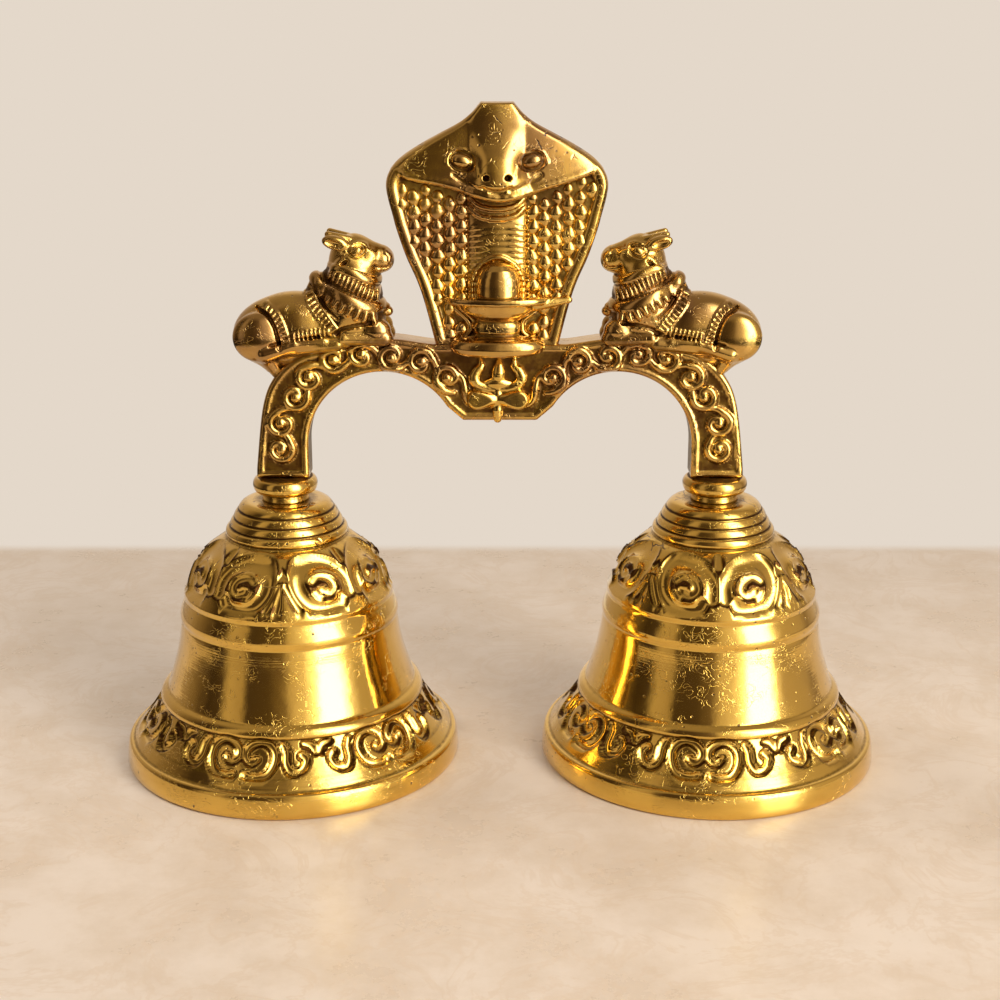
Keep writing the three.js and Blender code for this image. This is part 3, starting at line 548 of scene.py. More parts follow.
def brass(name, colours, polish, dull, wave, pits, tint=0.5, lathe=0.0, cracks=200.0):
    """Brass with patina and painted shade in its recesses, pits, cracks, hair scratches and an uneven polish.

    polish and dull are the roughness of bright and of smudged metal. wave is the depth in mm of the
    uneven hand finish, lathe that of turning lines. pits is how dark the pits are and tint how much
    of the deep colour shows. Cracks begin at the height in mm that cracks says. The mesh gives its
    recesses as the number hollow, which darkens the metal as patina and as painted shade.
    """
    material, tree, place = new_material(name)
    hollow = node(tree, "ShaderNodeAttribute", attribute_name="hollow").outputs["Fac"]
    # Tarnish gathers in the recesses, a little unevenly, and the same darkening is painted shade there
    uneven = node(tree, "ShaderNodeTexNoise", {"Vector": place, "Scale": 700.0, "Detail": 4.0})
    shift = node(tree, "ShaderNodeMapRange", [uneven, 0.0, 1.0, -0.25, 0.25])
    gathered = node(tree, "ShaderNodeMath", [hollow, shift], operation="ADD")
    patina_and_shade = node(tree, "ShaderNodeMapRange", [gathered, 0.2, 0.95, 0.0, 1.0], **SOFT)
    # Soft patches: metal that handling has warmed, groups of pits, parts open to cracks, rubbed parts
    warm, groups, open_part, rubbed = (
        node(
            tree, "ShaderNodeMapRange",
            [node(tree, "ShaderNodeTexNoise", {"Vector": place, "Scale": scale, "Detail": detail}), *limits],
            **SOFT,
        )
        for scale, detail, *limits in (
            (65.0, 2.0, 0.35, 0.7, 0.4 * tint, tint), (120.0, 2.0, 0.5, 0.66, 0.0, pits),
            (210.0, 1.0, 0.56, 0.62, 0.0, 1.0), (160.0, 2.0, 0.48, 0.6, 0.0, 1.0),
        )
    )
    # Casting pits under 0.5 mm across
    cells = node(tree, "ShaderNodeTexVoronoi", {"Vector": place, "Scale": 520.0, "Randomness": 1.0})
    holes = node(tree, "ShaderNodeMapRange", [cells, 0.1, 0.17, 1.0, 0.0], **SOFT)
    pit = node(tree, "ShaderNodeMath", [holes, groups], operation="MULTIPLY")
    # Short dark cracks, 0.2 mm wide and a few mm long, where the casting cooled
    bent = node(tree, "ShaderNodeTexNoise", {"Vector": place, "Scale": 300.0, "Detail": 2.0})
    swung = node(tree, "ShaderNodeVectorMath", {0: bent.outputs["Color"], "Scale": 0.0018}, operation="SCALE")
    there = node(tree, "ShaderNodeVectorMath", [place, swung], operation="ADD")
    net = node(tree, "ShaderNodeTexVoronoi", {"Vector": there, "Scale": 230.0}, feature="DISTANCE_TO_EDGE")
    line = node(tree, "ShaderNodeMapRange", [net, 0.012, 0.035, 1.0, 0.0], **SOFT)
    height_up = node(tree, "ShaderNodeSeparateXYZ", [place]).outputs["Z"]
    upper = node(tree, "ShaderNodeMapRange", [height_up, cracks * MM, (cracks + 4) * MM, 0.0, 0.8])
    crack = node(tree, "ShaderNodeMath", [line, open_part], operation="MULTIPLY")
    crack = node(tree, "ShaderNodeMath", [crack, upper], operation="MULTIPLY")
    pit = node(tree, "ShaderNodeMath", [pit, crack], operation="MAXIMUM")
    # Curled hair scratches, as thin level lines of a noise, a little wider than real ones
    curls = node(
        tree, "ShaderNodeTexNoise", {"Vector": place, "Scale": 420.0, "Detail": 1.0, "Distortion": 1.6}
    )
    middle = node(tree, "ShaderNodeMath", [curls, 0.5], operation="SUBTRACT")
    level = node(tree, "ShaderNodeMath", [middle], operation="ABSOLUTE")
    thin = node(tree, "ShaderNodeMapRange", [level, 0.0, 0.016, 1.0, 0.0], **SOFT)
    hair = node(tree, "ShaderNodeMath", [thin, rubbed], operation="MULTIPLY")
    # Colour: polished brass, warmer patches, then patina with painted shade, and pits
    metal_tone = node(
        tree, "ShaderNodeMix", {0: warm, 6: rgba(colours.brass), 7: rgba(colours.brass_deep)},
        data_type="RGBA",
    )
    stained_and_shaded = node(tree, "ShaderNodeMath", [patina_and_shade, pit], operation="MAXIMUM", use_clamp=True)
    tone = node(
        tree, "ShaderNodeMix", {0: stained_and_shaded, 6: metal_tone.outputs[2], 7: rgba(colours.patina_and_shade)},
        data_type="RGBA",
    )
    # Finger marks and dust dull the polish in clouds
    clouds = node(
        tree, "ShaderNodeTexNoise", {"Vector": place, "Scale": 95.0, "Detail": 5.0, "Distortion": 0.6}
    )
    smudge = node(tree, "ShaderNodeMapRange", [clouds, 0.4, 0.72, polish, dull], **SOFT)
    worn = node(tree, "ShaderNodeMath", [hair, 0.12, smudge], operation="MULTIPLY_ADD")
    rough = node(tree, "ShaderNodeMath", [patina_and_shade, 0.3, worn], operation="MULTIPLY_ADD", use_clamp=True)
    metal = node(tree, "ShaderNodeMath", [patina_and_shade, -0.12, 1.0], operation="MULTIPLY_ADD")
    # Height in mm: hand finish, fine grain, scratches and pits
    finish = node(tree, "ShaderNodeTexNoise", {"Vector": place, "Scale": 170.0, "Detail": 2.0})
    grain = node(tree, "ShaderNodeTexNoise", {"Vector": place, "Scale": 2400.0, "Detail": 3.0})
    height = node(tree, "ShaderNodeMath", [finish, wave], operation="MULTIPLY")
    height = node(tree, "ShaderNodeMath", [grain, 0.006, height], operation="MULTIPLY_ADD")
    height = node(tree, "ShaderNodeMath", [hair, -0.026, height], operation="MULTIPLY_ADD")
    height = node(tree, "ShaderNodeMath", [pit, -0.12, height], operation="MULTIPLY_ADD")
    if lathe:
        lines = node(
            tree, "ShaderNodeTexNoise", {"W": height_up, "Scale": 2200.0, "Detail": 2.0},
            noise_dimensions="1D",
        )
        height = node(tree, "ShaderNodeMath", [lines, lathe, height], operation="MULTIPLY_ADD")
    bump = node(tree, "ShaderNodeBump", {"Height": height, "Distance": MM, "Strength": 1.0})
    # A film of oil over the clean metal whitens the brightest lights
    film = node(tree, "ShaderNodeMath", [patina_and_shade, -0.75, 0.75], operation="MULTIPLY_ADD")
    shader = node(
        tree, "ShaderNodeBsdfPrincipled",
        {
            "Base Color": tone.outputs[2], "Metallic": metal, "Roughness": rough, "Normal": bump,
            "Coat Weight": film, "Coat IOR": 1.9, "Coat Roughness": 0.14, "Coat Normal": bump,
        },
    )
    node(tree, "ShaderNodeOutputMaterial", {"Surface": shader})
    return material


def drawn_steel(colours):
    """Plain steel with fine drawing lines, dull spots and brown specks where the plating has gone."""
    material, tree, place = new_material("drawn_steel")
    drawn = node(tree, "ShaderNodeMapping", {"Vector": place, "Scale": (1.0, 1.0, 0.08)})
    lines = node(tree, "ShaderNodeTexNoise", {"Vector": drawn, "Scale": 3000.0, "Detail": 3.0})
    spots = node(tree, "ShaderNodeTexNoise", {"Vector": place, "Scale": 350.0, "Detail": 5.0})
    rust = node(tree, "ShaderNodeMapRange", [spots, 0.6, 0.7, 0.0, 0.7], **SOFT)
    rough = node(tree, "ShaderNodeMapRange", [spots, 0.35, 0.7, 0.24, 0.55])
    tone = node(
        tree, "ShaderNodeMix", {0: rust, 6: rgba(colours.steel), 7: rgba(colours.rust)}, data_type="RGBA"
    )
    metal = node(tree, "ShaderNodeMath", [rust, -1.0, 1.0], operation="MULTIPLY_ADD")
    height = node(tree, "ShaderNodeMath", [lines, 0.01], operation="MULTIPLY")
    bump = node(tree, "ShaderNodeBump", {"Height": height, "Distance": MM, "Strength": 1.0})
    shader = node(
        tree, "ShaderNodeBsdfPrincipled",
        {"Base Color": tone.outputs[2], "Metallic": metal, "Roughness": rough, "Normal": bump},
    )
    node(tree, "ShaderNodeOutputMaterial", {"Surface": shader})
    return material


def smoothstep(values, low, high):
    """0 below low, 1 above high and a smooth step in between."""
    share = np.clip((values - low) / (high - low), 0, 1)
    return share * share * (3 - 2 * share)


def outline_distance(outline, u, w):
    """Distance in mm of each point of a grid from a closed outline, negative inside."""
    corners = np.asarray(outline, np.float32)
    best = np.full((u.size, w.size), 1e6, np.float32)
    inside = np.zeros(best.shape, bool)
    for (au, aw), (bu, bw) in zip(corners, np.roll(corners, -1, 0)):
        du, dw = bu - au, bw - aw
        share = np.clip(((u - au) * du + (w - aw) * dw) / max(du * du + dw * dw, 1e-9), 0, 1)
        best = np.minimum(best, (u - au - share * du) ** 2 + (w - aw - share * dw) ** 2)
        if dw:
            inside ^= ((aw > w) != (bw > w)) & (u < du * (w - aw) / dw + au)
    return np.where(inside, -1, 1) * np.sqrt(best)


class Sketch:
    """Heights in mm over the front of a block of clay, drawn as round-backed ridges."""

    def __init__(self, clay):
        self.clay, self.cell = clay, clay.cell
        self.u, self.w = clay.x[:, :, 0], clay.z[0]
        self.height = np.zeros((self.u.size, self.w.size), np.float32)

    def ridge(self, line, radius, rise=1.0):
        """Raises a ridge along a line. radius is its half width, rise its height as a share of that."""
        line = np.asarray(line, float)
        radii = np.broadcast_to(radius, len(line))
        start = np.array([self.u[0, 0], self.w[0, 0]])
        for a, b, ra, rb in zip(line, line[1:], radii, radii[1:]):
            reach = max(ra, rb)
            low = np.maximum((np.minimum(a, b) - reach - start) / self.cell, 0).astype(int)
            high = np.maximum((np.maximum(a, b) + reach - start) / self.cell + 2, 0).astype(int)
            part = np.s_[low[0] : high[0], low[1] : high[1]]
            u, w = self.u[low[0] : high[0]], self.w[:, low[1] : high[1]]
            run = b - a
            share = np.clip(((u - a[0]) * run[0] + (w - a[1]) * run[1]) / max(run @ run, 1e-9), 0, 1)
            far = (u - a[0] - share * run[0]) ** 2 + (w - a[1] - share * run[1]) ** 2
            back = np.sqrt(np.maximum((ra + (rb - ra) * share) ** 2 - far, 0)) * rise
            self.height[part] = np.maximum(self.height[part], back)

    def smooth_ridge(self, line, radius, rise=1.0):
        """Raises a ridge along a smooth curve through a few points."""
        self.ridge(smooth_path(line, 40), radius, rise)

    def ribs(self, line, width, pitch, radius, rise=1.0):
        """Raises short ribs across a smooth curve, each as long as width."""
        for middle, across in stations(line, pitch):
            self.ridge([middle - across * width / 2, middle + across * width / 2], radius, rise)

    def cut(self, line, radius, depth):
        """Lowers a groove with soft sides along a smooth curve."""
        groove = Sketch(self.clay)
        groove.smooth_ridge(line, radius)
        self.height -= smoothstep(groove.height, 0, radius) * depth


def stations(line, pitch):
    """Points at an even pitch along a smooth curve, each with the direction across it."""
    path = smooth_path(line, 120)
    run = np.concatenate([[0], np.cumsum(np.linalg.norm(np.diff(path, axis=0), axis=1))])
    for distance in np.arange(pitch / 2, run[-1], pitch):
        i = min(int(np.searchsorted(run, distance)), len(path) - 1)
        along = (path[i] - path[i - 1]) / max(np.linalg.norm(path[i] - path[i - 1]), 1e-9)
        yield path[i], np.array([-along[1], along[0]])


def leaned(x, z, tilt):
    """x and z along axes that lean by some degrees about the Y axis."""
    c, s = math.cos(math.radians(tilt)), math.sin(math.radians(tilt))
    return c * x + s * z, c * z - s * x


class Clay:
    """A block of cells that holds the distance in mm from the surface of a casting, negative inside."""

    FAR = 2.5

    def __init__(self, low, high, cell):
        self.low, self.cell = np.array(low, np.float32), cell
        axes = [np.arange(a, b + cell, cell, dtype=np.float32) for a, b in zip(low, high)]
        self.x, self.y, self.z = axes[0][:, None, None], axes[1][None, :, None], axes[2][None, None, :]
        self.field = np.full([axis.size for axis in axes], self.FAR, np.float32)

    def near(self, low, high):
        """The part of the block round a box, with its coordinates."""
        first = [max(0, int((a - self.FAR - start) / self.cell)) for a, start in zip(low, self.low)]
        last = [max(0, int((b + self.FAR - start) / self.cell) + 2) for b, start in zip(high, self.low)]
        cut = tuple(slice(a, b) for a, b in zip(first, last))
        return cut, self.x[cut[0]], self.y[:, cut[1]], self.z[:, :, cut[2]]

    def join(self, distance, blend, cut=np.s_[:, :, :]):
        """Adds a shape, with a fillet where it meets the rest."""
        here = self.field[cut]
        fillet = np.maximum(blend - np.abs(here - distance), 0) / blend
        self.field[cut] = np.minimum(here, distance) - fillet * fillet * blend / 4

    def plate(self, distance, front, back, edge, blend=0.3):
        """Adds a plate of an outline, from front to back of its mid plane, with edges rounded by edge mm."""
        across = distance[:, None, :] + edge
        ahead = -self.y - front[:, None, :] + edge
        behind = self.y - back[:, None, :] + edge
        through = np.maximum(ahead, behind)
        outer = np.sqrt(np.maximum(across, 0) ** 2 + np.maximum(through, 0) ** 2)
        self.join(np.minimum(np.maximum(across, through), 0) + outer - edge, blend)

    def carve(self, distance):
        """Takes a shape away."""
        self.field = np.maximum(self.field, -distance)

    def lump(self, centre, radii, tilt=0.0, blend=1.0):
        """Adds an ellipsoid, tilted by some degrees about the Y axis."""
        centre, reach = np.asarray(centre, float), max(radii)
        cut, x, y, z = self.near(centre - reach, centre + reach)
        y, (x, z) = y - centre[1], leaned(x - centre[0], z - centre[2], tilt)
        a, b, d = radii
        size = np.sqrt((x / a) ** 2 + (y / b) ** 2 + (z / d) ** 2)
        steep = np.sqrt((x / a**2) ** 2 + (y / b**2) ** 2 + (z / d**2) ** 2) + 1e-6
        self.join(size * (size - 1) / steep, blend, cut)

    def dent(self, centre, radii, tilt=0.0):
        """Takes an ellipsoid away, tilted by some degrees about the Y axis."""
        y, (x, z) = self.y - centre[1], leaned(self.x - centre[0], self.z - centre[2], tilt)
        a, b, d = radii
        size = np.sqrt((x / a) ** 2 + (y / b) ** 2 + (z / d) ** 2)
        self.carve((size - 1) * min(radii))

    def limb(self, start, start_radius, end, end_radius, blend=0.8):
        """Adds a tapered bar with round ends."""
        a, b = np.asarray(start, float), np.asarray(end, float)
        reach = max(start_radius, end_radius)
        cut, x, y, z = self.near(np.minimum(a, b) - reach, np.maximum(a, b) + reach)
        run = b - a
        x, y, z = x - a[0], y - a[1], z - a[2]
        share = np.clip((x * run[0] + y * run[1] + z * run[2]) / max(run @ run, 1e-9), 0, 1)
        far = np.sqrt((x - share * run[0]) ** 2 + (y - share * run[1]) ** 2 + (z - share * run[2]) ** 2)
        self.join(far - start_radius - (end_radius - start_radius) * share, blend, cut)

    def turned(self, profile, axis, flat, blend=0.3):
        """Adds a shape turned about an upright axis and flattened along Y.

        Its profile runs from axis to axis.
        """
        half = np.asarray(profile, float)
        loop = np.vstack([half, half[::-1] * [-1, 1]])
        step = self.cell / 2
        radii = np.arange(0, half[:, 0].max() + self.FAR + step, step, dtype=np.float32)
        table = outline_distance(loop, radii[:, None], self.z[0])
        reach = np.sqrt((self.x - axis[0]) ** 2 + ((self.y - axis[1]) / flat) ** 2)
        place = np.minimum(reach / step, len(radii) - 1.001)
        first = place.astype(int)
        share = place - first
        column = np.arange(self.z.size)[None, None, :]
        self.join(table[first, column] * (1 - share) + table[first + 1, column] * share, blend)

    def emboss(self, height):
        """Moves the surface out by the height at each x and z, on the front and the back."""
        self.field -= height[:, None, :]

    def recess(self, points, reach):
        """How deep each point lies in a recess: below 0 on an edge, about 1 in a groove."""
        soft = np.clip(self.field, -reach, reach)
        half = max(1, round(reach / self.cell))
        for axis in (0, 1, 2, 0, 1, 2):
            soft = np.moveaxis(soft, axis, 0)
            padded = np.concatenate([soft[:1]] * (half + 1) + [soft] + [soft[-1:]] * half)
            total = np.cumsum(padded, axis=0, dtype=np.float32)
            soft = np.moveaxis((total[2 * half + 1 :] - total[: -2 * half - 1]) / (2 * half + 1), 0, axis)
        first = np.clip(np.floor(points).astype(int), 0, np.array(soft.shape) - 2)
        share = points - first
        found = 0
        for corner in np.ndindex(2, 2, 2):
            weight = np.prod(np.where(corner, share, 1 - share), axis=1)
            found = found + weight * soft[tuple((first + corner).T)]
        return -found / (0.32 * reach)

    def mesh(self, reach=0.9, stain_and_shade=None, raised=0.0, behind=True):
        """The surface in mm, raised by some height: its points, its faces and the patina and painted shade at
        each point.

        The stain and painted shade lie on the front, and behind too where that is set.
        """
        grid = openvdb.FloatGrid(background=self.FAR)
        grid.copyFromArray(np.clip(self.field, -self.FAR, self.FAR))
        points, quads = grid.convertToQuads(isovalue=0.0)
        # How deep a point lies in a recess darkens it, as patina and as painted shade
        hollow = self.recess(points, reach)
        if stain_and_shade is not None:
            first = np.clip(np.round(points).astype(int), 0, np.array(self.field.shape) - 1)
            ahead = points[:, 1] * self.cell + self.low[1] < 0
            hollow = np.maximum(hollow, stain_and_shade[first[:, 0], first[:, 2]] * (ahead | behind))
        return points * self.cell + self.low + [0, 0, raised], quads, np.clip(hollow, 0, 1)


def casting(name, points, quads, hollow, material):
    """A casting as an object with its patina, painted shade and material."""
    made = new_object(name, points, faces=quads)
    faced_outwards(made.data)
    point_values(made.data, "hollow", hollow)
    made.data.materials.append(material)
    return made


def beads(name, tree, rows, facets, material):
    """Beads from rows of x, y, z, half sizes along x, y and z, and a lean in degrees, all in mm."""
    rows = np.asarray(rows, float)
    points = new_object(name + "_points", rows[:, :3])
    sizes = points.data.attributes.new("size", "FLOAT_VECTOR", "POINT")
    sizes.data.foreach_set("vector", (rows[:, 3:6] * MM).astype(np.float32).ravel())
    point_values(points.data, "lean", np.radians(rows[:, 6]))
    use_tree(points, tree, segments=14, rings=8, facets=facets, material=material)
    return baked(points, name)


def joined(name, pieces):
    """One object from several baked pieces, which are removed."""
    whole = bmesh.new()
    for piece in pieces:
        whole.from_mesh(piece.data)
    mesh = bpy.data.meshes.new(name)
    whole.to_mesh(mesh)
    whole.free()
    for material in pieces[0].data.materials:
        mesh.materials.append(material)
    for piece in pieces:
        bpy.data.objects.remove(piece)
    return linked_object(name, mesh)


# The room round the object: degrees from the camera's side and how bright it is there
ROOM_TONES = [
    (-180, 0.8), (-164, 0.8), (-148, 0.5), (-118, 0.4), (-97, 0.2), (-78, 0.05), (-65, 0.07), (-56, 0.55),
    (-43, 0.45), (-36, 0.07), (-16, 0.09), (-2, 0.2), (6, 0.7), (18, 1.0), (28, 2.2), (34, 9.0),
    (54, 9.0), (63, 1.2), (72, 0.6), (100, 0.5), (112, 0.3), (126, 0.5), (158, 0.8), (180, 0.8),
]


class DOUBLEBELL_OT_stage(bpy.types.Operator):
    """Builds the floor, the room's light, the lamps and the camera"""

    bl_idname = "double_bell.stage"
    bl_label = "Stage"

    def execute(self, context):
        settings = context.scene.double_bell_stage
        colours = context.scene.double_bell_colours
        self.floor(settings, colours)
        self.room(context.scene, settings, colours)
        self.lamp("key_lamp", settings.key_power, (46, 34), 0.75, (0.34, 0.5), "#fff6e8")
        self.lamp("fill_lamp", settings.fill_power, (-118, 38), 0.8, (0.4, 0.4), "#fffaf2")
        self.camera(context.scene, settings)
        context.scene.view_settings.view_transform = "Standard"
        return {"FINISHED"}

    def floor(self, settings, colours):
        around, rings, top = 96, 12, -0.02
        angles = np.arange(around) * 2 * math.pi / around
        radii = np.arange(1, rings + 1) * settings.table_radius / MM / rings
        points = [(0, 0, top)] + [(r * math.cos(a), r * math.sin(a), top) for r in radii for a in angles]
        faces = [(0, 1 + i, 1 + (i + 1) % around) for i in range(around)]
        for start in range(1, 1 + (rings - 1) * around, around):
            for i, j in zip(range(around), (*range(1, around), 0)):
                faces.append((start + i, start + around + i, start + around + j, start + j))
        made = new_object("floor", points, faces=faces)
        material, tree, place = new_material("pale_honed_stone")
        depth = node(tree, "ShaderNodeSeparateXYZ", [place]).outputs["Y"]
        # The floor turns into the evenly lit backdrop about 140 mm behind the bells
        far = node(tree, "ShaderNodeMapRange", [depth, 0.137, 0.146, 0.0, 1.0], **SOFT)
        # Pale clouds some 40 mm wide and thin, broken veins of a warmer tone
        cloud = node(
            tree, "ShaderNodeTexNoise", {"Vector": place, "Scale": 31.0, "Detail": 8.0, "Roughness": 0.68}
        )
        clouds = node(tree, "ShaderNodeMapRange", [cloud, 0.36, 0.64, 0.0, 1.0], **SOFT)
        pale = np.array(colours.floor)
        mottle = node(
            tree, "ShaderNodeMix", {0: clouds, 6: rgba(pale * [0.88, 0.84, 0.78]), 7: rgba(pale)},
            data_type="RGBA",
        )
        drift = node(
            tree, "ShaderNodeTexNoise",
            {"Vector": place, "Scale": 38.0, "Detail": 5.0, "Roughness": 0.7, "Distortion": 0.8},
        )
        middle = node(tree, "ShaderNodeMath", [drift, 0.5], operation="SUBTRACT")
        level = node(tree, "ShaderNodeMath", [middle], operation="ABSOLUTE")
        veins = node(tree, "ShaderNodeMapRange", [level, 0.0, 0.04, 0.36, 0.0], **SOFT)
        veined = node(
            tree, "ShaderNodeMix",
            {0: veins, 6: mottle.outputs[2], 7: rgba(pale * [0.86, 0.78, 0.68])}, data_type="RGBA",
        )
        # Painted shade: the stone's colour darkens towards the back, as the lamps' light falls off
        painted_falloff_shade = node(tree, "ShaderNodeMapRange", [depth, -0.04, 0.13, 1.0, 0.87])
        ground_tone = node(
            tree, "ShaderNodeVectorMath", {0: veined.outputs[2], "Scale": painted_falloff_shade}, operation="SCALE"
        )
        rough = node(tree, "ShaderNodeMapRange", [cloud, 0.3, 0.7, 0.22, 0.42])
        stone = node(
            tree, "ShaderNodeBsdfPrincipled",
            {"Base Color": ground_tone, "Roughness": rough, "Specular IOR Level": 0.4},
        )
        backdrop = node(tree, "ShaderNodeEmission", [rgba(colours.wall), 1.0])
        ground = node(tree, "ShaderNodeMixShader", [far, stone, backdrop])
        node(tree, "ShaderNodeOutputMaterial", {"Surface": ground})
        made.data.materials.append(material)

    def room(self, scene, settings, colours):
        world = bpy.data.worlds.new("room")
        scene.world = world
        world.use_nodes = True
        tree = world.node_tree
        tree.nodes.clear()
        path = node(tree, "ShaderNodeLightPath").outputs
        place = node(
            tree, "ShaderNodeSeparateXYZ", [node(tree, "ShaderNodeTexCoord").outputs["Generated"]]
        ).outputs
        # The room as the metal sees it: pale wall behind the object, window light and
        # dark furniture in front of it
        back = node(tree, "ShaderNodeMath", [place["Y"], -1.0], operation="MULTIPLY")
        round_angle = node(tree, "ShaderNodeMath", [place["X"], back], operation="ARCTAN2")
        share = node(tree, "ShaderNodeMapRange", [round_angle, -math.pi, math.pi, 0.0, 1.0])
        bands = node(tree, "ShaderNodeValToRGB", [share])
        dusk, daylight = np.array(linear("#ffca8e")), np.array(linear("#fffbf2"))
        elements = bands.color_ramp.elements
        while len(elements) < len(ROOM_TONES):
            elements.new(0.5)
        for element, (degrees, level) in zip(elements, ROOM_TONES):
            element.position = (degrees + 180) / 360
            white = min(level / 2, 1) ** 0.5
            element.color = rgba((dusk + (daylight - dusk) * white) * level / settings.window)
        # The ceiling is an even half light, and the room darkens below the table's edge
        upwards = node(tree, "ShaderNodeMapRange", [place["Z"], 0.62, 0.97, 0.0, 1.0], **SOFT)
        ceiling = rgba((dusk + daylight) / 2 * 0.36 / settings.window)
        whole = node(tree, "ShaderNodeMix", {0: upwards, 6: bands, 7: ceiling}, data_type="RGBA")
        below = node(
            tree, "ShaderNodeMapRange", [place["Z"], -0.34, -0.07, 0.12 * settings.window, settings.window],
            **SOFT,
        )
        seen = node(
            tree, "ShaderNodeMath", [path["Is Camera Ray"], path["Is Transmission Ray"]],
            operation="MAXIMUM",
        )
        light = node(
            tree, "ShaderNodeBackground", {"Color": rgba(linear("#fff4e6")), "Strength": settings.room}
        )
        mirror = node(tree, "ShaderNodeBackground", {"Color": whole.outputs[2], "Strength": below})
        wall = node(tree, "ShaderNodeBackground", {"Color": rgba(colours.wall), "Strength": 1.0})
        first = node(tree, "ShaderNodeMixShader", [path["Is Glossy Ray"], light, mirror])
        second = node(tree, "ShaderNodeMixShader", [seen, first, wall])
        node(tree, "ShaderNodeOutputWorld", {"Surface": second})

    def lamp(self, name, power, direction, distance, size, tone):
        across, up = (math.radians(a) for a in direction)
        data = bpy.data.lights.new(name, "AREA")
        data.shape = "RECTANGLE"
        data.size, data.size_y = size
        data.energy = power
        data.color = linear(tone)
        made = linked_object(name, data)
        away = np.array([math.sin(across) * math.cos(up), -math.cos(across) * math.cos(up), math.sin(up)])
        where = away * distance
        made.location = (*where[:2], where[2] + 0.06)
        made.rotation_euler = (math.pi / 2 - up, 0, across)
        made.visible_glossy = False

    def camera(self, scene, settings):
        data = bpy.data.cameras.new("camera")
        data.lens = settings.lens
        data.sensor_width = 36
        data.clip_start = 0.01
        made = linked_object("camera", data)
        run = settings.distance * math.cos(settings.pitch)
        made.location = (0, -run, settings.look_height + settings.distance * math.sin(settings.pitch))
        made.rotation_euler = (math.pi / 2 - settings.pitch, 0, 0)
        scene.camera = made


class DOUBLEBELL_OT_bells(bpy.types.Operator):
    """Turns the two bells and raises their scrolls"""

    bl_idname = "double_bell.bells"
    bl_label = "Bells"

    def execute(self, context):
        sizes = context.scene.double_bell_bells
        colours = context.scene.double_bell_colours
        # Turned and buffed brass: mirror highlights that wander a little, hair scratches, grooves darkened by
        # patina and painted shade
        metal = brass(
            "buffed_turned_brass", colours, polish=0.07, dull=0.17, wave=0.1, lathe=0.01, pits=0.9,
            cracks=42.0, tint=0.2,
        )
        turning, scrolls = turned_tree(), scroll_tree()
        motifs = {key: motif(key + "_motif", band[0]) for key, band in SCROLL_BANDS.items()}
        guide = 20.0
        profile, outside = bell_profile()
        points = [(r - guide, -z, 0) for r, z, _ in profile]
        for name, side in SIDES:
            axis = side * sizes.spacing / 2
            line = chain("bell_line", points, hollow=profile[:, 2], outside=outside)
            use_tree(
                line, turning, segments=sizes.segments, guide_radius=guide * MM, axis_x=axis, material=metal
            )
            for key, (_, repeats, low, high, middle, slope, height, ground) in SCROLL_BANDS.items():
                use_tree(
                    line, scrolls, motif=motifs[key], repeats=repeats, turn=getattr(sizes, f"{key}_{name}"),
                    low=low * MM, high=high * MM, middle=middle * MM, slope=slope,
                    stroke=getattr(sizes, key + "_stroke"), height=height, ground=ground, axis_x=axis,
                    material=metal,
                )
            made = baked(line, f"dressed_bell_{name}")
            finished(made, "root", [f"bell_{name}"])
        for obj in motifs.values():
            bpy.data.objects.remove(obj)
        return {"FINISHED"}


# Bow: half of its outline in mm, from the crest down to the foot, with the arch of the right hand side
BOW_CREST = [
    (14, 93.3), (24.8, 94.5), (36.1, 92.6), (42.7, 90.6), (47.6, 86.2), (50.2, 80), (51.8, 68.2),
    (52.1, 64.2),
]
LEG_INNER = (40.8, 64.2)
ARCH = (24.8, 71.4, 16.0)
BRACKET_CORNER = (7.8, 76.9)
# Middles of the running scrolls on the left half, from the foot to the bracket
CURLS = [
    (-46.6, 70.6), (-46.4, 76.3), (-43.2, 82), (-40.2, 86.3), (-35, 90.2), (-29.1, 91.2), (-22.8, 90.6),
    (-16.6, 89.7), (-11.1, 86.3),
]
CURL_TAIL = (-8.6, 80.6)
BRACKET_TAIL = [(9.2, 87.6), (7.9, 86), (7.4, 83.6), (7, 81.4), (5.9, 80.3)]


def bow_outline():
    """Outline of the bow as seen from the front."""
    x, z, radius = ARCH
    last = math.pi - math.asin((BRACKET_CORNER[1] + 3 - z) / radius)
    angles = np.linspace(0, last, 48)
    arch = np.stack([x + radius * np.cos(angles), z + radius * np.sin(angles)], 1)
    right = np.vstack([smooth_path(BOW_CREST, 60), [LEG_INNER], arch, [BRACKET_CORNER]])
    return np.vstack([right, right[::-1] * [-1, 1]])


def scroll(centre, towards, hand, size):
    """A scroll that starts beside the next one and winds into a bead: its points and half widths."""
    start = math.atan2(towards[1] - centre[1], towards[0] - centre[0])
    turns = np.linspace(0, 1.2, 44)
    reach = np.interp(turns, [0, 0.14, 0.5, 0.85, 1.08, 1.2], [1.35, 0.92, 0.84, 0.7, 0.32, 0.05]) * size
    angles = start + hand * turns * 2 * math.pi
    line = np.stack([centre[0] + reach * np.cos(angles), centre[1] + reach * np.sin(angles)], 1)
    return line, np.interp(turns, [0, 0.14, 0.85, 1.05, 1.2], [0.6, 1, 0.8, 0.75, 1.3])


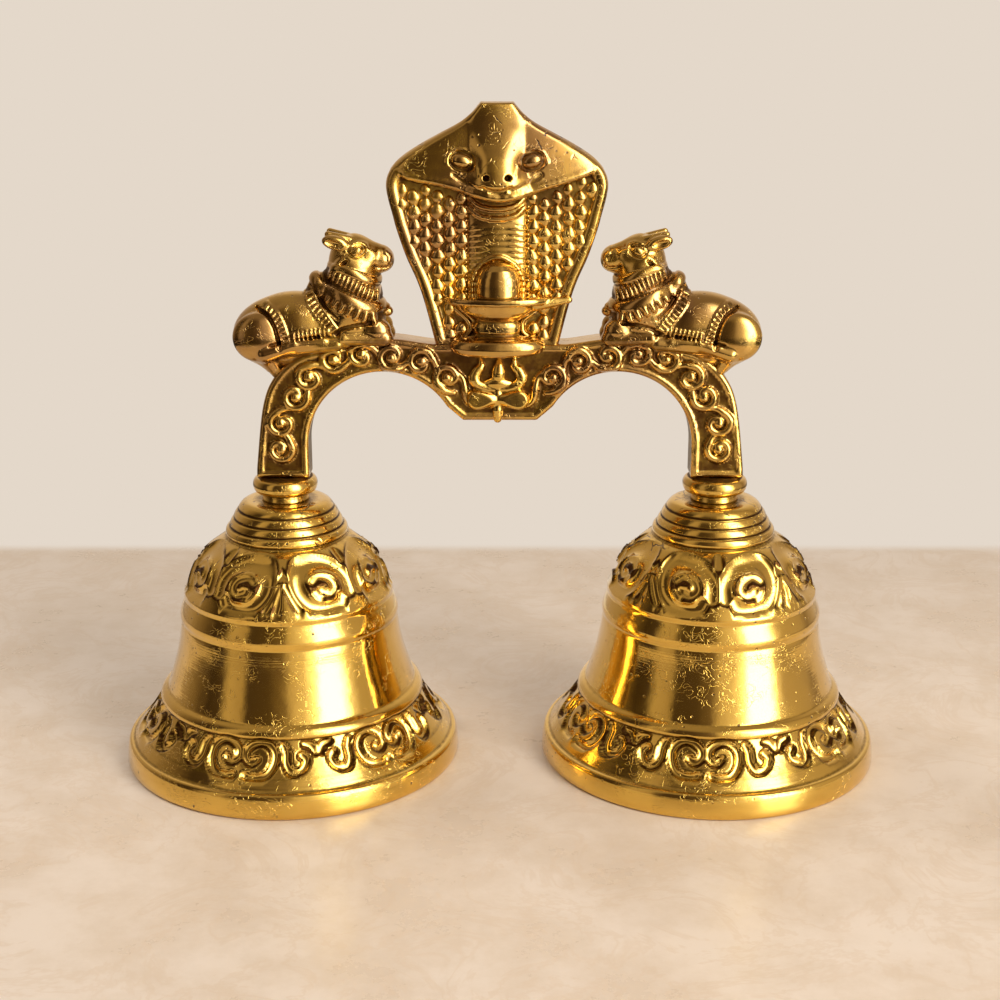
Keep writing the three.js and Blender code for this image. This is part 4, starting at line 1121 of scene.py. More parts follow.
class DOUBLEBELL_OT_bow(bpy.types.Operator):
    """Casts the bow with its running scrolls"""

    bl_idname = "double_bell.bow"
    bl_label = "Bow"

    def execute(self, context):
        sizes = context.scene.double_bell_castings
        colours = context.scene.double_bell_colours
        # Cast brass, filed and buffed on the high parts, with a brown matte ground between the scrolls
        metal = brass("buffed_cast_brass", colours, polish=0.12, dull=0.32, wave=0.28, pits=0.7, tint=1.0)
        clay = Clay((-53, -5, 63.2), (53, 5, 95.8), sizes.bow_cell / MM)
        edge = outline_distance(bow_outline(), clay.x[:, :, 0], clay.z[0])
        half = sizes.bow_thickness / MM / 2
        sketch = Sketch(clay)
        for side in (-1, 1):
            centres = [(-side * x, z) for x, z in CURLS + [CURL_TAIL]]
            for i, centre in enumerate(centres[:-1]):
                line, widths = scroll(
                    centre, centres[i + 1], side * (-1 if i % 2 else 1), sizes.scroll_size / MM
                )
                sketch.ridge(line, widths * sizes.scroll_stroke / MM, 1.05)
            tail = smooth_path([(side * u, w) for u, w in BRACKET_TAIL], 40)
            sketch.ridge(tail, np.interp(np.linspace(0, 1, 40), [0, 0.5, 1], [0.5, 0.9, 0.6]), 1.05)
        ground = smoothstep(-edge, 1.2, 1.7)
        relief = sketch.height * smoothstep(-edge, 0.1, 0.8) - 0.25 * ground
        thick = half - 0.15 + relief
        clay.plate(edge, thick, thick, 0.8)
        for _, side in SIDES:
            bore = np.hypot(clay.x - side * LEG_X, clay.y) - 2.6
            clay.carve(np.maximum(bore, clay.z - 72.5))
        clear = 1 - smoothstep(sketch.height, 0.1, 0.4)
        made = casting("scrolled_bow", *clay.mesh(0.8, 0.8 * ground * clear), metal)
        finished(made, "root", ["handle_bow"])
        return {"FINISHED"}


# Hood: half width, depth ahead of the mid plane and depth behind it, by the height above the saddle
HOOD_X = -0.6
HOOD_HALF = [
    (-1.2, 12.8), (0, 13), (8, 15), (13, 16.6), (18.3, 18.9), (23.9, 20.8), (27, 21.6), (30.5, 22.5),
    (33.5, 22.8), (36.2, 21.8), (38.8, 19.3), (41.3, 15.4), (43.3, 11.7), (45.5, 7.6), (47.3, 5.3),
    (48.9, 3.9), (49.6, 3.3),
]
CANOPY_DEPTH = [
    (27, 4.4), (30.5, 5.8), (33.5, 5.9), (36.2, 5.4), (38.8, 4.7), (41.3, 3.9), (43.3, 3.3), (46, 2.5),
    (50, 1.4),
]
# How far the head stands out of the canopy, and its half width
HEAD_RISE = [(29.5, 0.3), (31.2, 1.5), (33.2, 2.6), (35.6, 2.8), (38.5, 2.1), (41.5, 1.2), (45, 0.5), (49, 0)]
HEAD_HALF = [(29.5, 6.2), (32, 7), (34.5, 6.8), (36.5, 5.8), (38.5, 5.4), (41, 5.8), (45, 6), (49, 5)]
HOOD_BACK = [(0, 3.2), (18, 2.8), (30, 2.5), (42, 2.2), (50, 1.2)]
UPPER_LID = [(10.2, 38), (9.2, 39.7), (7.6, 40.3), (5.9, 39.6), (4.7, 38), (4.1, 35.4)]
CHEEK_CREASE = [(8.8, 35.4), (7.2, 34.3), (5, 33.2), (2.8, 32.4)]
CANOPY_LIP = [
    (-24, 37), (-19.5, 34.6), (-12.1, 33.2), (-8.1, 32.2), (-4, 30.9), (0, 30.2), (4, 30.9), (8.1, 32.2),
    (14, 33.9), (18.5, 35.4), (24, 37.4),
]
THROAT_X, THROAT_HALF = -0.65, 6.15
# Raised outlines on the lower face: left and right of the stand's neck, and the arch round the lingam
HOOD_LINES = [
    [(-11.2, 10.2), (-10.2, 8.2), (-7.4, 5.6), (-6.3, 4), (-6.5, 2.4), (-9.6, 0.2)],
    [(9.6, 9.2), (8, 7.5), (5, 5.2), (4.6, 3.6), (5.2, 2), (8.6, 0)],
    [(-5.9, 9.8), (-5.8, 13.6), (-4, 16.9), (-0.5, 18.5), (3, 16.9), (4.9, 13.6), (5, 9.8)],
    [(-6.4, 30.6), (-4.2, 28.9), (-0.6, 28.3), (3, 28.9), (5.2, 30.6)],
    [(-6.4, 28.6), (-4.2, 26.9), (-0.6, 26.3), (3, 26.9), (5.2, 28.6)],
]


class DOUBLEBELL_OT_hood(bpy.types.Operator):
    """Casts the cobra hood with its head, throat and scales"""

    bl_idname = "double_bell.hood"
    bl_label = "Cobra hood"

    def execute(self, context):
        sizes = context.scene.double_bell_castings
        colours = context.scene.double_bell_colours
        # Cast brass with a soft hand polish: broad highlights, satin clouds and brown between the scales
        metal = brass(
            "softly_polished_brass", colours, polish=0.15, dull=0.36, wave=0.12, pits=0.9, cracks=130.0,
            tint=1.0,
        )
        clay = Clay((-25, -10.5, -1.6), (25, 4.5, 51.6), sizes.hood_cell / MM)
        x, height = clay.x[:, :, 0], clay.z[0]
        half = np.array(HOOD_HALF)
        side = smooth_path(half[:, ::-1], 90)
        outline = np.vstack([side + [HOOD_X, 0], (side * [-1, 1] + [HOOD_X, 0])[::-1]])
        edge = outline_distance(outline, x, height)
        lip = smooth_path(CANOPY_LIP, 60)
        above = outline_distance(np.vstack([lip, [(26, 60), (-26, 60)]]), x, height)
        wide = np.interp(height, side[:, 1], side[:, 0])
        aside = np.minimum(np.abs(x - HOOD_X) / wide, 1)
        spine = np.exp(-(((x - HOOD_X) / 1.6) ** 2)) * smoothstep(-edge, 4, 8)
        rolled = np.sqrt(np.maximum(1 - ((edge + 2.1) / 0.8) ** 2, 0))
        back = np.interp(height, *np.array(HOOD_BACK).T) - 0.9 * aside**2 + 0.7 * spine + 0.5 * rolled
        face, stain_and_shade = self.face(sizes, clay, x, height, edge, above)
        clay.plate(edge, face, back, 0.9)
        self.canopy(clay, x, height, edge, above, lip, aside)
        made = casting("cast_hood", *clay.mesh(1.0, stain_and_shade, SADDLE_Z, False), metal)
        scales = beads("hood_scales", beads_tree(), self.scales(sizes, edge, above, clay), 0.35, metal)
        finished(joined("cobra_hood_casting", [made, scales]), "root", ["cobra_hood"])
        return {"FINISHED"}

    def face(self, sizes, clay, x, height, edge, above):
        """Depth of the face below the canopy, and its stain with painted shade: a rim, two fields, the ribbed
        throat and a painted shadow under the canopy's lip.
        """
        sketch = Sketch(clay)
        for line in HOOD_LINES:
            sketch.smooth_ridge(line, 0.55)
        below = smoothstep(above, -4, 0)
        rim = 0.9 * np.sqrt(np.maximum(1 - ((edge + 1.3) / 1.4) ** 2, 0)) * below
        across = (x - THROAT_X) / THROAT_HALF
        round_back = np.sqrt(np.maximum(1 - across**2, 0))
        fold = height + 1.3 * (1 - round_back) * smoothstep(height, 12, 30)
        pitch = sizes.throat_pitch / MM
        worn = (0.12 + 0.88 * smoothstep(np.abs(across), 0.3, 0.8)) * (1 - smoothstep(height, 24.5, 26))
        ribs = 0.36 * np.abs(np.sin(math.pi * fold / pitch)) * smoothstep(round_back, 0, 0.45) * worn
        throat = (1.7 * round_back + ribs) * smoothstep(height, 8.5, 9.5)
        face = 1.7 + 0.8 * below + np.maximum(rim, throat) + sketch.height
        groove = (1 - np.abs(np.sin(math.pi * fold / pitch))) ** 3 * smoothstep(round_back, 0.1, 0.5)
        field = smoothstep(-edge, 2.4, 3) * (1 - smoothstep(sketch.height, 0.05, 0.3))
        stain_and_shade = 0.68 * field * (across**2 > 1)
        stain_and_shade = stain_and_shade + 0.5 * groove * worn * (across**2 < 1) * smoothstep(height, 9, 10)
        # Painted shadow under the canopy's lip, darkest right below it
        shade = smoothstep(-above, -1.8, -0.2) * 0.6
        return face, np.maximum(stain_and_shade, shade * smoothstep(-edge, 1, 2)) * (above > 0.15)

    def canopy(self, clay, x, height, edge, above, lip, aside):
        """The head as a canopy: brow, crown, snout, eyes, nostrils and a rolled lower lip."""
        depth = np.interp(height, *np.array(CANOPY_DEPTH).T)
        spread = np.sqrt(1 - aside**2.2)
        across = np.minimum(np.abs(x - HOOD_X) / np.interp(height, *np.array(HEAD_HALF).T), 1)
        head = np.interp(height, *np.array(HEAD_RISE).T) * (1 - across**2.6) ** 1.3
        sketch = Sketch(clay)
        around = np.linspace(0, 2 * math.pi, 13)
        for side in (-1, 1):
            u, w = 2.4 * np.cos(around), 1.75 * np.sin(around)
            socket = np.stack([HOOD_X + side * (7.1 + u - 0.25 * w), 38.1 + w + 0.25 * u], 1)
            sketch.smooth_ridge([(HOOD_X + side * a, b) for a, b in UPPER_LID], 0.45, 0.55)
            sketch.cut(socket, 0.4, 0.35)
            sketch.cut([(HOOD_X + side * a, b) for a, b in CHEEK_CREASE], 0.55, 0.3)
        sketch.cut([(HOOD_X + u, 32.2 + 0.11 * u * u) for u in (-2.8, -1.4, 0, 1.4, 2.8)], 0.5, 0.45)
        front = 2.2 + (depth - 2.2) * spread + head + sketch.height
        clay.plate(np.maximum(edge, above), front, 0 * front, 1.1, 0.4)
        for a, b in zip(lip[6:-6], lip[7:-6]):
            ends = []
            for u, w in (a, b):
                column, row = round((u - x[0, 0]) / clay.cell), round((w + 1.2 - height[0, 0]) / clay.cell)
                ends.append((u, 0.75 - front[column, row], w + 0.7))
            clay.limb(ends[0], 0.85, ends[1], 0.85, 0.4)
        for side in (-1, 1):
            clay.lump((HOOD_X + side * 7.1, -4.6, 38.1), (2.2, 1.3, 1.4), side * 14, 0.1)
            clay.dent((HOOD_X + side * 2.2, -7.9, 35), (0.75, 1.3, 0.65))

    def scales(self, sizes, edge, above, clay):
        """Rows for the scales in both fields and for the fine beads beside the throat."""
        rows = []
        chance = np.random.default_rng(11)
        step, rise = sizes.scale_across / MM, sizes.scale_up / MM
        for i, u in enumerate(np.arange(HOOD_X - 10 * step, 24, step)):
            for w in np.arange(1.6 + (i % 2) * rise / 2, 38, rise):
                a = int(round((u - clay.x[0, 0, 0]) / clay.cell))
                b = int(round((w - clay.z[0, 0, 0]) / clay.cell))
                reach = above[a, b]
                inner = np.interp(w, [0, 2, 4, 6, 10], [9.6, 6.4, 6.2, 7.6, THROAT_HALF + 0.4])
                beside = abs(u - THROAT_X) - inner
                if edge[a, b] > -2.4 or reach < 0.9 or beside < 0.5:
                    continue
                full = smoothstep(reach, 1, 6)
                size = 0.76 + 0.24 * full
                du, dw, wide, tall, lean = chance.uniform(-1, 1, 5)
                half_sizes = (size * (1.62 + 0.18 * wide), 0.6 + 0.5 * full, size * (2 + 0.22 * tall))
                rows.append((u + 0.18 * du, -2.4, w + 0.22 * dw + SADDLE_Z, *half_sizes, 15 * lean))
        for side in (-1, 1):
            for w in np.arange(10.6, 29, 0.95):
                rows.append((THROAT_X + side * (THROAT_HALF + 0.25), -2.6, w + SADDLE_Z, 0.42, 0.5, 0.42, 0))
        return rows


# Lingam on its spouted stand: radius and height above the saddle, from axis to axis
STAND_PROFILE = [
    (0, -1.8), (4, -1.8), (8.4, -1.8), (9.5, -1.3), (10, -0.3), (9.9, 0.6), (9.2, 1.3), (7.8, 1.7),
    (5.6, 1.9), (4.7, 2.2), (4.4, 2.6), (4.75, 3), (4.85, 4.3), (4.7, 4.8), (4.3, 5), (4.5, 5.3),
    (5.2, 5.7), (6.6, 6.4), (7.6, 7.3), (8.4, 8.4), (8.9, 9), (10.4, 9.05), (10.8, 9.3), (10.85, 10),
    (10.5, 10.4), (9.6, 10.3), (8.9, 9.95), (5.4, 9.9), (5, 10.3), (0, 10.3),
]
LINGAM_PROFILE = [
    (0, 9), (4.6, 9), (4.65, 10.4), (4.6, 13), (4.4, 14.5), (3.8, 15.9), (2.6, 17), (1.3, 17.5),
    (0, 17.6),
]
STAND_Y, STAND_FLAT = -4.4, 0.5
SPOUT = [((7.6, -5.2, 8.9), 1.5), ((14.3, -4.9, 9.75), 0.72)]


class DOUBLEBELL_OT_stand(bpy.types.Operator):
    """Casts the lingam and its spouted stand"""

    bl_idname = "double_bell.stand"
    bl_label = "Stand"

    def execute(self, context):
        colours = context.scene.double_bell_colours
        # Cast brass polished all over, brown with patina and painted shade only in the grooves of the neck
        metal = brass("polished_cast_brass", colours, polish=0.1, dull=0.26, wave=0.2, pits=0.5, tint=0.9)
        clay = Clay(
            (-12.6, -11.6, -2.8), (16.4, -2.4, 18.6), context.scene.double_bell_castings.detail_cell / MM
        )
        clay.turned(STAND_PROFILE, (HOOD_X, STAND_Y), STAND_FLAT)
        clay.turned(LINGAM_PROFILE, (HOOD_X + 0.3, STAND_Y), 0.78, 0.2)
        (start, start_radius), (end, end_radius) = SPOUT
        clay.limb(start, start_radius, end, end_radius, 0.5)
        channel = np.hypot(clay.y + 5, clay.z - 11.1) - 0.9
        clay.carve(np.maximum(channel, np.abs(clay.x - 11.4) - 3.8))
        clay.carve(-3.4 - clay.y)
        made = casting("spouted_stand", *clay.mesh(0.7, raised=SADDLE_Z), metal)
        finished(made, "root", ["lingam_stand"])
        return {"FINISHED"}


# Trident: lines of x, z and half width in mm, which the casting has broadened by a share
BROADENED = 1.6
TRIDENT_LINES = [
    [
        (-0.5, 77.4, 0.55), (-0.5, 79.6, 0.75), (-0.5, 83.6, 0.7), (-0.4, 85.4, 0.75), (-0.3, 87.2, 1.0),
        (-0.2, 88.9, 0.7), (-0.2, 90.5, 0.25),
    ],
    [
        (-0.5, 84, 0.6), (-2.6, 84.1, 0.65), (-4.6, 84.9, 0.75), (-5.4, 86.3, 0.8), (-4.8, 87.8, 0.7),
        (-3.9, 88.9, 0.55), (-4.2, 90.4, 0.25),
    ],
    [
        (-0.5, 84, 0.6), (1.8, 84.1, 0.65), (3.8, 84.9, 0.75), (4.6, 86.3, 0.8), (4, 87.8, 0.7),
        (3, 88.9, 0.55), (3.1, 90.6, 0.25),
    ],
    [(-3.4, 84.9, 0.4), (-0.5, 85.3, 0.85), (2.6, 84.9, 0.4)],
    [(-0.5, 81.7, 0.75), (-2.4, 81.7, 1.1), (-4.8, 81.7, 1.5)],
    [(-0.5, 81.7, 0.75), (1.4, 81.7, 1.1), (3.9, 81.7, 1.5)],
    [(-5.2, 80.3, 0.5), (-5.3, 81.7, 0.55), (-5.2, 83.1, 0.5)],
    [(4.3, 80.3, 0.5), (4.4, 81.7, 0.55), (4.3, 83.1, 0.5)],
    [(-2, 80.1, 0.3), (-0.5, 81.7, 0.45), (1, 83.3, 0.3)],
    [(1, 80.1, 0.3), (-0.5, 81.7, 0.45), (-2, 83.3, 0.3)],
]


class DOUBLEBELL_OT_trident(bpy.types.Operator):
    """Casts the trident with its hourglass drum"""

    bl_idname = "double_bell.trident"
    bl_label = "Trident"

    def execute(self, context):
        colours = context.scene.double_bell_colours
        # Small cast relief whose high lines are rubbed bright
        metal = brass("rubbed_relief_brass", colours, polish=0.12, dull=0.28, wave=0.12, pits=0.4, tint=0.4)
        cell = context.scene.double_bell_castings.detail_cell / MM
        clay = Clay((-7, -6.2, 76), (6.2, -2.9, 91.6), cell)
        for line in TRIDENT_LINES:
            path = smooth_path(line, 14)
            for (ax, az, a), (bx, bz, b) in zip(path, path[1:]):
                clay.limb((ax, -3.9, az), BROADENED * a, (bx, -3.9, bz), BROADENED * b, 0.15)
        clay.carve(clay.y + 5.6)
        clay.carve(-3.2 - clay.y)
        made = casting("raised_trident", *clay.mesh(0.5), metal)
        finished(made, "root", ["trident_emblem"])
        return {"FINISHED"}


# Left bull in mm: inboard of its leg's axis, aside, above the saddle. What lies aside is on both flanks.
# Lumps have a centre, radii, a tilt and a fillet, limbs two ends with their radii and a fillet
BULL_LUMPS = [
    ((-3.4, 0, 1.6), (6.4, 6.1, 6.3), 0, 1),
    ((4.2, 0, 3.9), (10.5, 5.9, 6.8), -4, 2.5),
    ((15, 0, 5.2), (7.4, 5.7, 7.6), 0, 2.5),
    ((9.3, 0, 11), (3.2, 2.8, 3.8), 0, 1.4),
    ((1.8, 0, -2.2), (4.6, 4.4, 3.4), 0, 2),
    ((15.5, 0, 18.8), (4.5, 3.7, 3.8), 20, 1.6),
    ((21.8, 0, 17.4), (2.6, 2.7, 2.7), 10, 0.8),
    ((-4, 4.4, 1.7), (5.4, 2.6, 5.2), 0, 0.8),
    ((20.6, 3.4, 3), (3.1, 2.2, 2.6), 0, 0.8),
    ((19.2, 2.4, 18.2), (1.9, 1.3, 1.8), 0, 0.8),
    ((16.8, 3.5, 19.7), (1.25, 0.85, 0.85), 25, 0.1),
    ((14.1, 3.7, 17.1), (2.1, 0.8, 1.1), 40, 0.12),
    ((12.5, 3.1, 21.2), (2.9, 1.1, 1.5), -14, 0.3),
]
BULL_LIMBS = [
    ((15.4, 0, 8), 6.1, (16, 0, 15.5), 5.2, 1.2),
    ((14, 0, 16.6), 3, (20.6, 0, 16.7), 1.9, 1),
    ((16.6, 0, 19), 3.2, (21.3, 0, 18), 2.4, 1),
    ((-4.4, 0, -2), 2.6, (-2.2, 0, -5.6), 1.2, 1),
    ((16, 0, 21.4), 1.1, (20.7, 0, 19.8), 0.8, 0.8),
    ((21.6, 0, 6.6), 1.4, (22.9, 0, 6.5), 1.1, 0.3),
    ((1, 4.5, -0.6), 1.7, (12.4, 4.6, 0.3), 1.5, 0.8),
    ((22.3, 3.4, 1.3), 1.9, (13.8, 4.7, 1.5), 1.35, 0.3),
    ((13.8, 4.9, 1.5), 1.15, (14.4, 4.7, 0.5), 0.9, 0.3),
    ((-2.6, 5, -1.6), 2, (3.6, 5.2, 0.4), 1.5, 0.4),
    ((3.6, 5.2, 0.4), 1.3, (9.8, 5, 0.9), 1.1, 0.3),
    ((-3, 4.2, -2), 1.8, (-0.6, 2.6, -6.2), 1.2, 0.5),
]
# Lines drawn on both flanks: inboard, above the saddle
NECK_RINGS = [
    ([(7.4, 14.3), (9.2, 11.9), (11.8, 11), (15.4, 9.5), (19.2, 8.2), (22.2, 8.1)], 1.35, 0.55),
    ([(11.2, 16.2), (13.9, 15.9), (16.5, 15.1), (19.1, 13.9), (21.6, 13.2)], 0.95, 0.6),
]
COLLAR_LINE = [(10.6, 15.1), (12.9, 14.2), (15.5, 13.1), (18, 11.8), (20.6, 10.7), (22.1, 10.6)]
PENDANT_LINE = [(8.6, 11.9), (11.6, 10.3), (13.4, 9.2), (15.6, 7.9), (17.4, 6.9), (19.2, 6.2), (21.2, 6.1)]
STRAPS = [
    ([(-2.5, 8.3), (-0.6, 6.9), (0.8, 4.6), (1.8, 0.9)], 0.8),
    ([(6.4, 11.3), (7.6, 8.8), (10, 5.6), (12, 2.9)], 1.0),
]
HEM_LINE = [(3.2, 1.9), (6.6, 2.5), (10.9, 3.2)]
BULL_GROOVES = [
    (
        [(15.1, 19.6), (16, 20.7), (17.6, 20.8), (18.5, 19.8), (17.6, 18.8), (16, 18.6), (15.1, 19.6)],
        0.35, 0.25,
    ),
    ([(-4.2, 7.7), (-1.9, 6.6), (-0.4, 4.4), (0.3, 1.8), (0.5, -0.3)], 0.45, 0.5),
    ([(6.9, 12.2), (8.2, 10.8), (9.9, 8.4), (12.7, 5.8)], 0.35, 0.35),
    ([(20.3, 16.4), (21.8, 16), (23.2, 16.2)], 0.35, 0.25),
    ([(12.4, 2.6), (13.6, 3.6), (16.6, 4.4), (20, 4.9)], 0.5, 0.5),
    ([(-1.4, 0.3), (0.8, 0.8), (3.2, 1.3), (8.8, 2.1)], 0.4, 0.4),
]
BULL_RIDGES = [
    ([(15.4, 19.6), (15.9, 20.8), (17.2, 21.3), (18.6, 20.9), (19, 20)], 0.4, 0.7),
    ([(22.9, 19.2), (23.7, 18.4), (23.6, 17.4)], 0.5, 0.6),
]


class DOUBLEBELL_OT_bulls(bpy.types.Operator):
    """Casts the two lying bulls that face the hood"""

    bl_idname = "double_bell.bulls"
    bl_label = "Bulls"

    def execute(self, context):
        sizes = context.scene.double_bell_castings
        colours = context.scene.double_bell_colours
        # Cast brass rubbed bright on back, flank and head, dark between straps and pendants
        metal = brass("rubbed_cast_brass", colours, polish=0.13, dull=0.3, wave=0.07, pits=0.6, tint=1.0)
        clay = Clay((-11.5, -8.6, -9), (26, 8.6, 26), sizes.bull_cell / MM)
        for (x, y, z), radii, tilt, blend in BULL_LUMPS:
            for side in (-1, 1) if y else (1,):
                clay.lump((x, side * y, z), radii, tilt, blend)
        for (ax, ay, az), a, (bx, by, bz), b, blend in BULL_LIMBS:
            for side in (-1, 1) if ay else (1,):
                clay.limb((ax, side * ay, az), a, (bx, side * by, bz), b, blend)
        self.ears(clay)
        relief, stain_and_shade = self.harness(clay)
        clay.emboss(relief)
        # The underside follows the bow, as it lies under the left bull and under the right one
        outline = bow_outline() - [-LEG_X, SADDLE_Z]
        under = np.maximum(
            outline_distance(outline, clay.x[:, :, 0], clay.z[0]),
            outline_distance(outline - [sizes.right_bull_inboard / MM, 0], clay.x[:, :, 0], clay.z[0]),
        )
        clay.carve(np.maximum(under[:, None, :] + 0.25, np.abs(clay.y) - 4.5))
        # Stain, and painted shade within about a millimetre of where the bull lies on the bow
        points, quads, hollow = clay.mesh(0.8, np.maximum(stain_and_shade, 0.6 * (1 - smoothstep(under, 0.2, 1.2))))
        for name, side in SIDES:
            inboard = 0 if side < 0 else sizes.right_bull_inboard / MM
            moved = points + [0, 0, SADDLE_Z]
            moved[:, 0] = side * (LEG_X - inboard - points[:, 0])
            made = casting(f"cast_bull_{name}", moved, quads, hollow, metal)
            finished(made, "root", [f"bull_{name}"])
        return {"FINISHED"}

    def ears(self, clay):
        """Hollows of the ears and nostrils, and the horns' stumps over the ears."""
        for side in (-1, 1):
            clay.dent((12.1, side * 4.3, 21.1), (2.1, 1, 0.85), -14)
            clay.dent((14.2, side * 4.7, 17.2), (1.2, 0.6, 0.5), 40)
            clay.dent((23.6, side * 1.7, 18.5), (0.5, 0.6, 0.45))
            clay.limb((15.2, side * 1.6, 21.6), 1, (10.9, side * 2.2, 22.9), 0.7, 0.3)

    def harness(self, clay):
        """Heights and stain of rings, collar, pendants, straps and face lines on the flanks."""
        ground, detail, plain = Sketch(clay), Sketch(clay), Sketch(clay)
        ground.smooth_ridge(COLLAR_LINE, 1.2, 0.35)
        detail.ribs(COLLAR_LINE, 2.2, 1, 0.36, 1.1)
        ground.smooth_ridge(PENDANT_LINE, 1.35, 0.1)
        detail.ribs(PENDANT_LINE, 2.4, 1.75, 0.64, 0.9)
        for line, half in STRAPS:
            path = smooth_path(line, 40)
            along = np.gradient(path, axis=0)
            aside = np.stack([-along[:, 1], along[:, 0]], 1) / np.linalg.norm(along, axis=1)[:, None] * half
            ground.ridge(path, half, 0.12)
            detail.ridge(path - aside, 0.26)
            detail.ridge(path + aside, 0.26)
            detail.ribs(line, half * 0.9, 1, 0.34, 0.95)
        ground.smooth_ridge(HEM_LINE, 0.9, 0.3)
        detail.ribs(HEM_LINE, 1.5, 0.9, 0.3, 1.1)
        for line, radius, rise in NECK_RINGS + BULL_RIDGES:
            plain.smooth_ridge(line, radius, rise)
        stain_and_shade = smoothstep(ground.height, 0, 0.12) * (1 - smoothstep(detail.height, 0.05, 0.35))
        plain.height = np.maximum(plain.height, ground.height + detail.height)
        for line, radius, depth in BULL_GROOVES:
            plain.cut(line, radius, depth)
        return plain.height, 0.8 * stain_and_shade


# Turned fittings as radius, height above their seat and darkness of the patina and painted shade
COLLAR_PROFILE = [
    (2.6, 0, 0.8), (5.2, 0, 0.8), (5.7, 0.25, 0.6), (6.3, 0.4, 0.1), (6.75, 0.95, 0), (6.95, 1.7, 0),
    (6.9, 2.5, 0), (6.6, 3.15, 0), (6.15, 3.5, 0.2), (5.9, 3.55, 0.8), (5.7, 4, 0.9), (2.6, 4, 0.8),
]
NECK_PROFILE = [
    (2.6, 0, 0.8), (5.1, 0, 0.7), (5.15, 0.3, 0.4), (4.95, 0.7, 0), (4.95, 1.1, 0.1), (5, 1.5, 0.8),
    (2.6, 1.5, 0.8),
]
WASHER_PROFILE = [(2.6, 0, 0), (5.25, 0, 0), (5.5, 0.2, 0), (5.5, 0.8, 0), (5.25, 1, 0), (2.6, 1, 0)]
CEILING_Z, NUT_HEIGHT, NUT_FLATS, STEM_RADIUS = 54.5, 4.0, 8.0, 2.3
WASHER_Z, NUT_Z = CEILING_Z - 1, CEILING_Z - 5
EYE_Z, EYE_RADIUS, EYE_WIRE = 43.5, 3.4, 1.3
LINK_TOP_Z, LINK_BOTTOM_Z, LINK_RADIUS, LINK_WIRE = 42.7, 33.7, 2.6, 1.0
CLAPPER_EYE_Z, CLAPPER_EYE_RADIUS, CLAPPER_WIRE = 33.1, 3.0, 1.1
BALL_Z, BALL_RADIUS, ROD_RADIUS = 13.5, 7.5, 1.5
# Edges of nuts and washers that turn by more than this stay sharp
SHARP = math.radians(25)


def turned_piece(name, tree, profile, axis, material, segments):
    """A baked piece turned about an upright axis from radii, heights and patina with painted shade.

    Its profile may end on the axis.
    """
    guide = 3.0
    profile = np.array(profile, float)
    closed = profile[0, 0] > 0
    line = chain(name + "_line", [(r - guide, -z, 0) for r, z, _ in profile], closed, hollow=profile[:, 2])
    use_tree(line, tree, segments=segments, guide_radius=guide * MM, axis_x=axis, material=material)
    return baked(line, name)


def raised_by(profile, height):
    """A profile on its seat."""
    return [(r, z + height, dark) for r, z, dark in profile]


def ring_line(centre_x, centre_z, radius, straight, crosswise):
    """Points of a ring or of a link with straight sides, in the plane of the bells or across it."""
    angles = np.linspace(0, 2 * math.pi, 64, endpoint=False)
    across = radius * np.cos(angles)
    up = centre_z + radius * np.sin(angles) + np.where(np.sin(angles) >= 0, straight, -straight)
    flat = np.full(len(angles), centre_x)
    return np.stack([flat, across, up] if crosswise else [flat + across, 0 * across, up], 1)


def wire_ring(name, tree, points, radius, material):
    """A baked ring of round wire."""
    line = chain(name + "_line", points)
    use_tree(line, tree, wire_radius=radius * MM, sides=20, material=material)
    return baked(line, name)


def chamfered_nut(name, axis_x, material):
    """A hexagon nut with both ends chamfered, as rings of points from its bore outwards and back."""
    angles = np.radians(np.arange(0, 360, 5.0))
    side = NUT_FLATS / 2 / np.cos((angles + math.pi / 6) % (math.pi / 3) - math.pi / 6)
    slope = (side - NUT_FLATS / 2) * math.tan(math.radians(30))
    rings = [
        (STEM_RADIUS, 0), (NUT_FLATS / 2, 0), (side, slope), (side, NUT_HEIGHT - slope),
        (NUT_FLATS / 2, NUT_HEIGHT), (STEM_RADIUS, NUT_HEIGHT),
    ]
    points, faces, count = [], [], len(angles)
    for i, (radius, z) in enumerate(rings):
        points += zip(axis_x + radius * np.cos(angles), radius * np.sin(angles), NUT_Z + z + 0 * angles)
        here, there = i * count, (i + 1) % len(rings) * count
        for j, k in zip(range(count), (*range(1, count), 0)):
            faces.append((here + j, here + k, there + k, there + j))
    made = new_object(name, points, faces=faces)
    faced_outwards(made.data)
    made.data.materials.append(material)
    return made


class DOUBLEBELL_OT_fittings(bpy.types.Operator):
    """Turns the collars, necks, washers and nuts"""

    bl_idname = "double_bell.fittings"
    bl_label = "Fittings"

    def execute(self, context):
        sizes = context.scene.double_bell_fittings
        colours = context.scene.double_bell_colours
        # Turned brass rings, bright on their round, black with patina and painted shade where they meet leg
        # and bell
        metal = brass("turned_ring_brass", colours, polish=0.08, dull=0.24, wave=0.1, lathe=0.01, pits=0.4)
        steel = drawn_steel(colours)
        turning = turned_tree()
        for name, side in SIDES:
            axis = side * context.scene.double_bell_bells.spacing / 2
            collar = np.array(raised_by(COLLAR_PROFILE, COLLAR_Z))
            collar = np.vstack([collar[:1], smooth_path(collar[1:10], 40), collar[10:]])
            pieces = (
                ("collar", collar, "turned_brass", metal),
                ("neck_spacer", raised_by(NECK_PROFILE, NECK_Z), "turned_brass", metal),
                ("washer", raised_by(WASHER_PROFILE, WASHER_Z), "steel", steel),
            )
            for kind, profile, slot, material in pieces:
                made = turned_piece(f"turned_{kind}_{name}", turning, profile, axis, material, sizes.segments)
                finished(made, "root", [f"{kind}_{name}"])
                if kind == "washer":
                    made.data.set_sharp_from_angle(angle=SHARP)
            nut = chamfered_nut(f"chamfered_nut_{name}", axis / MM, steel)
            finished(nut, "root", [f"nut_{name}"])
            nut.data.set_sharp_from_angle(angle=SHARP)
        return {"FINISHED"}


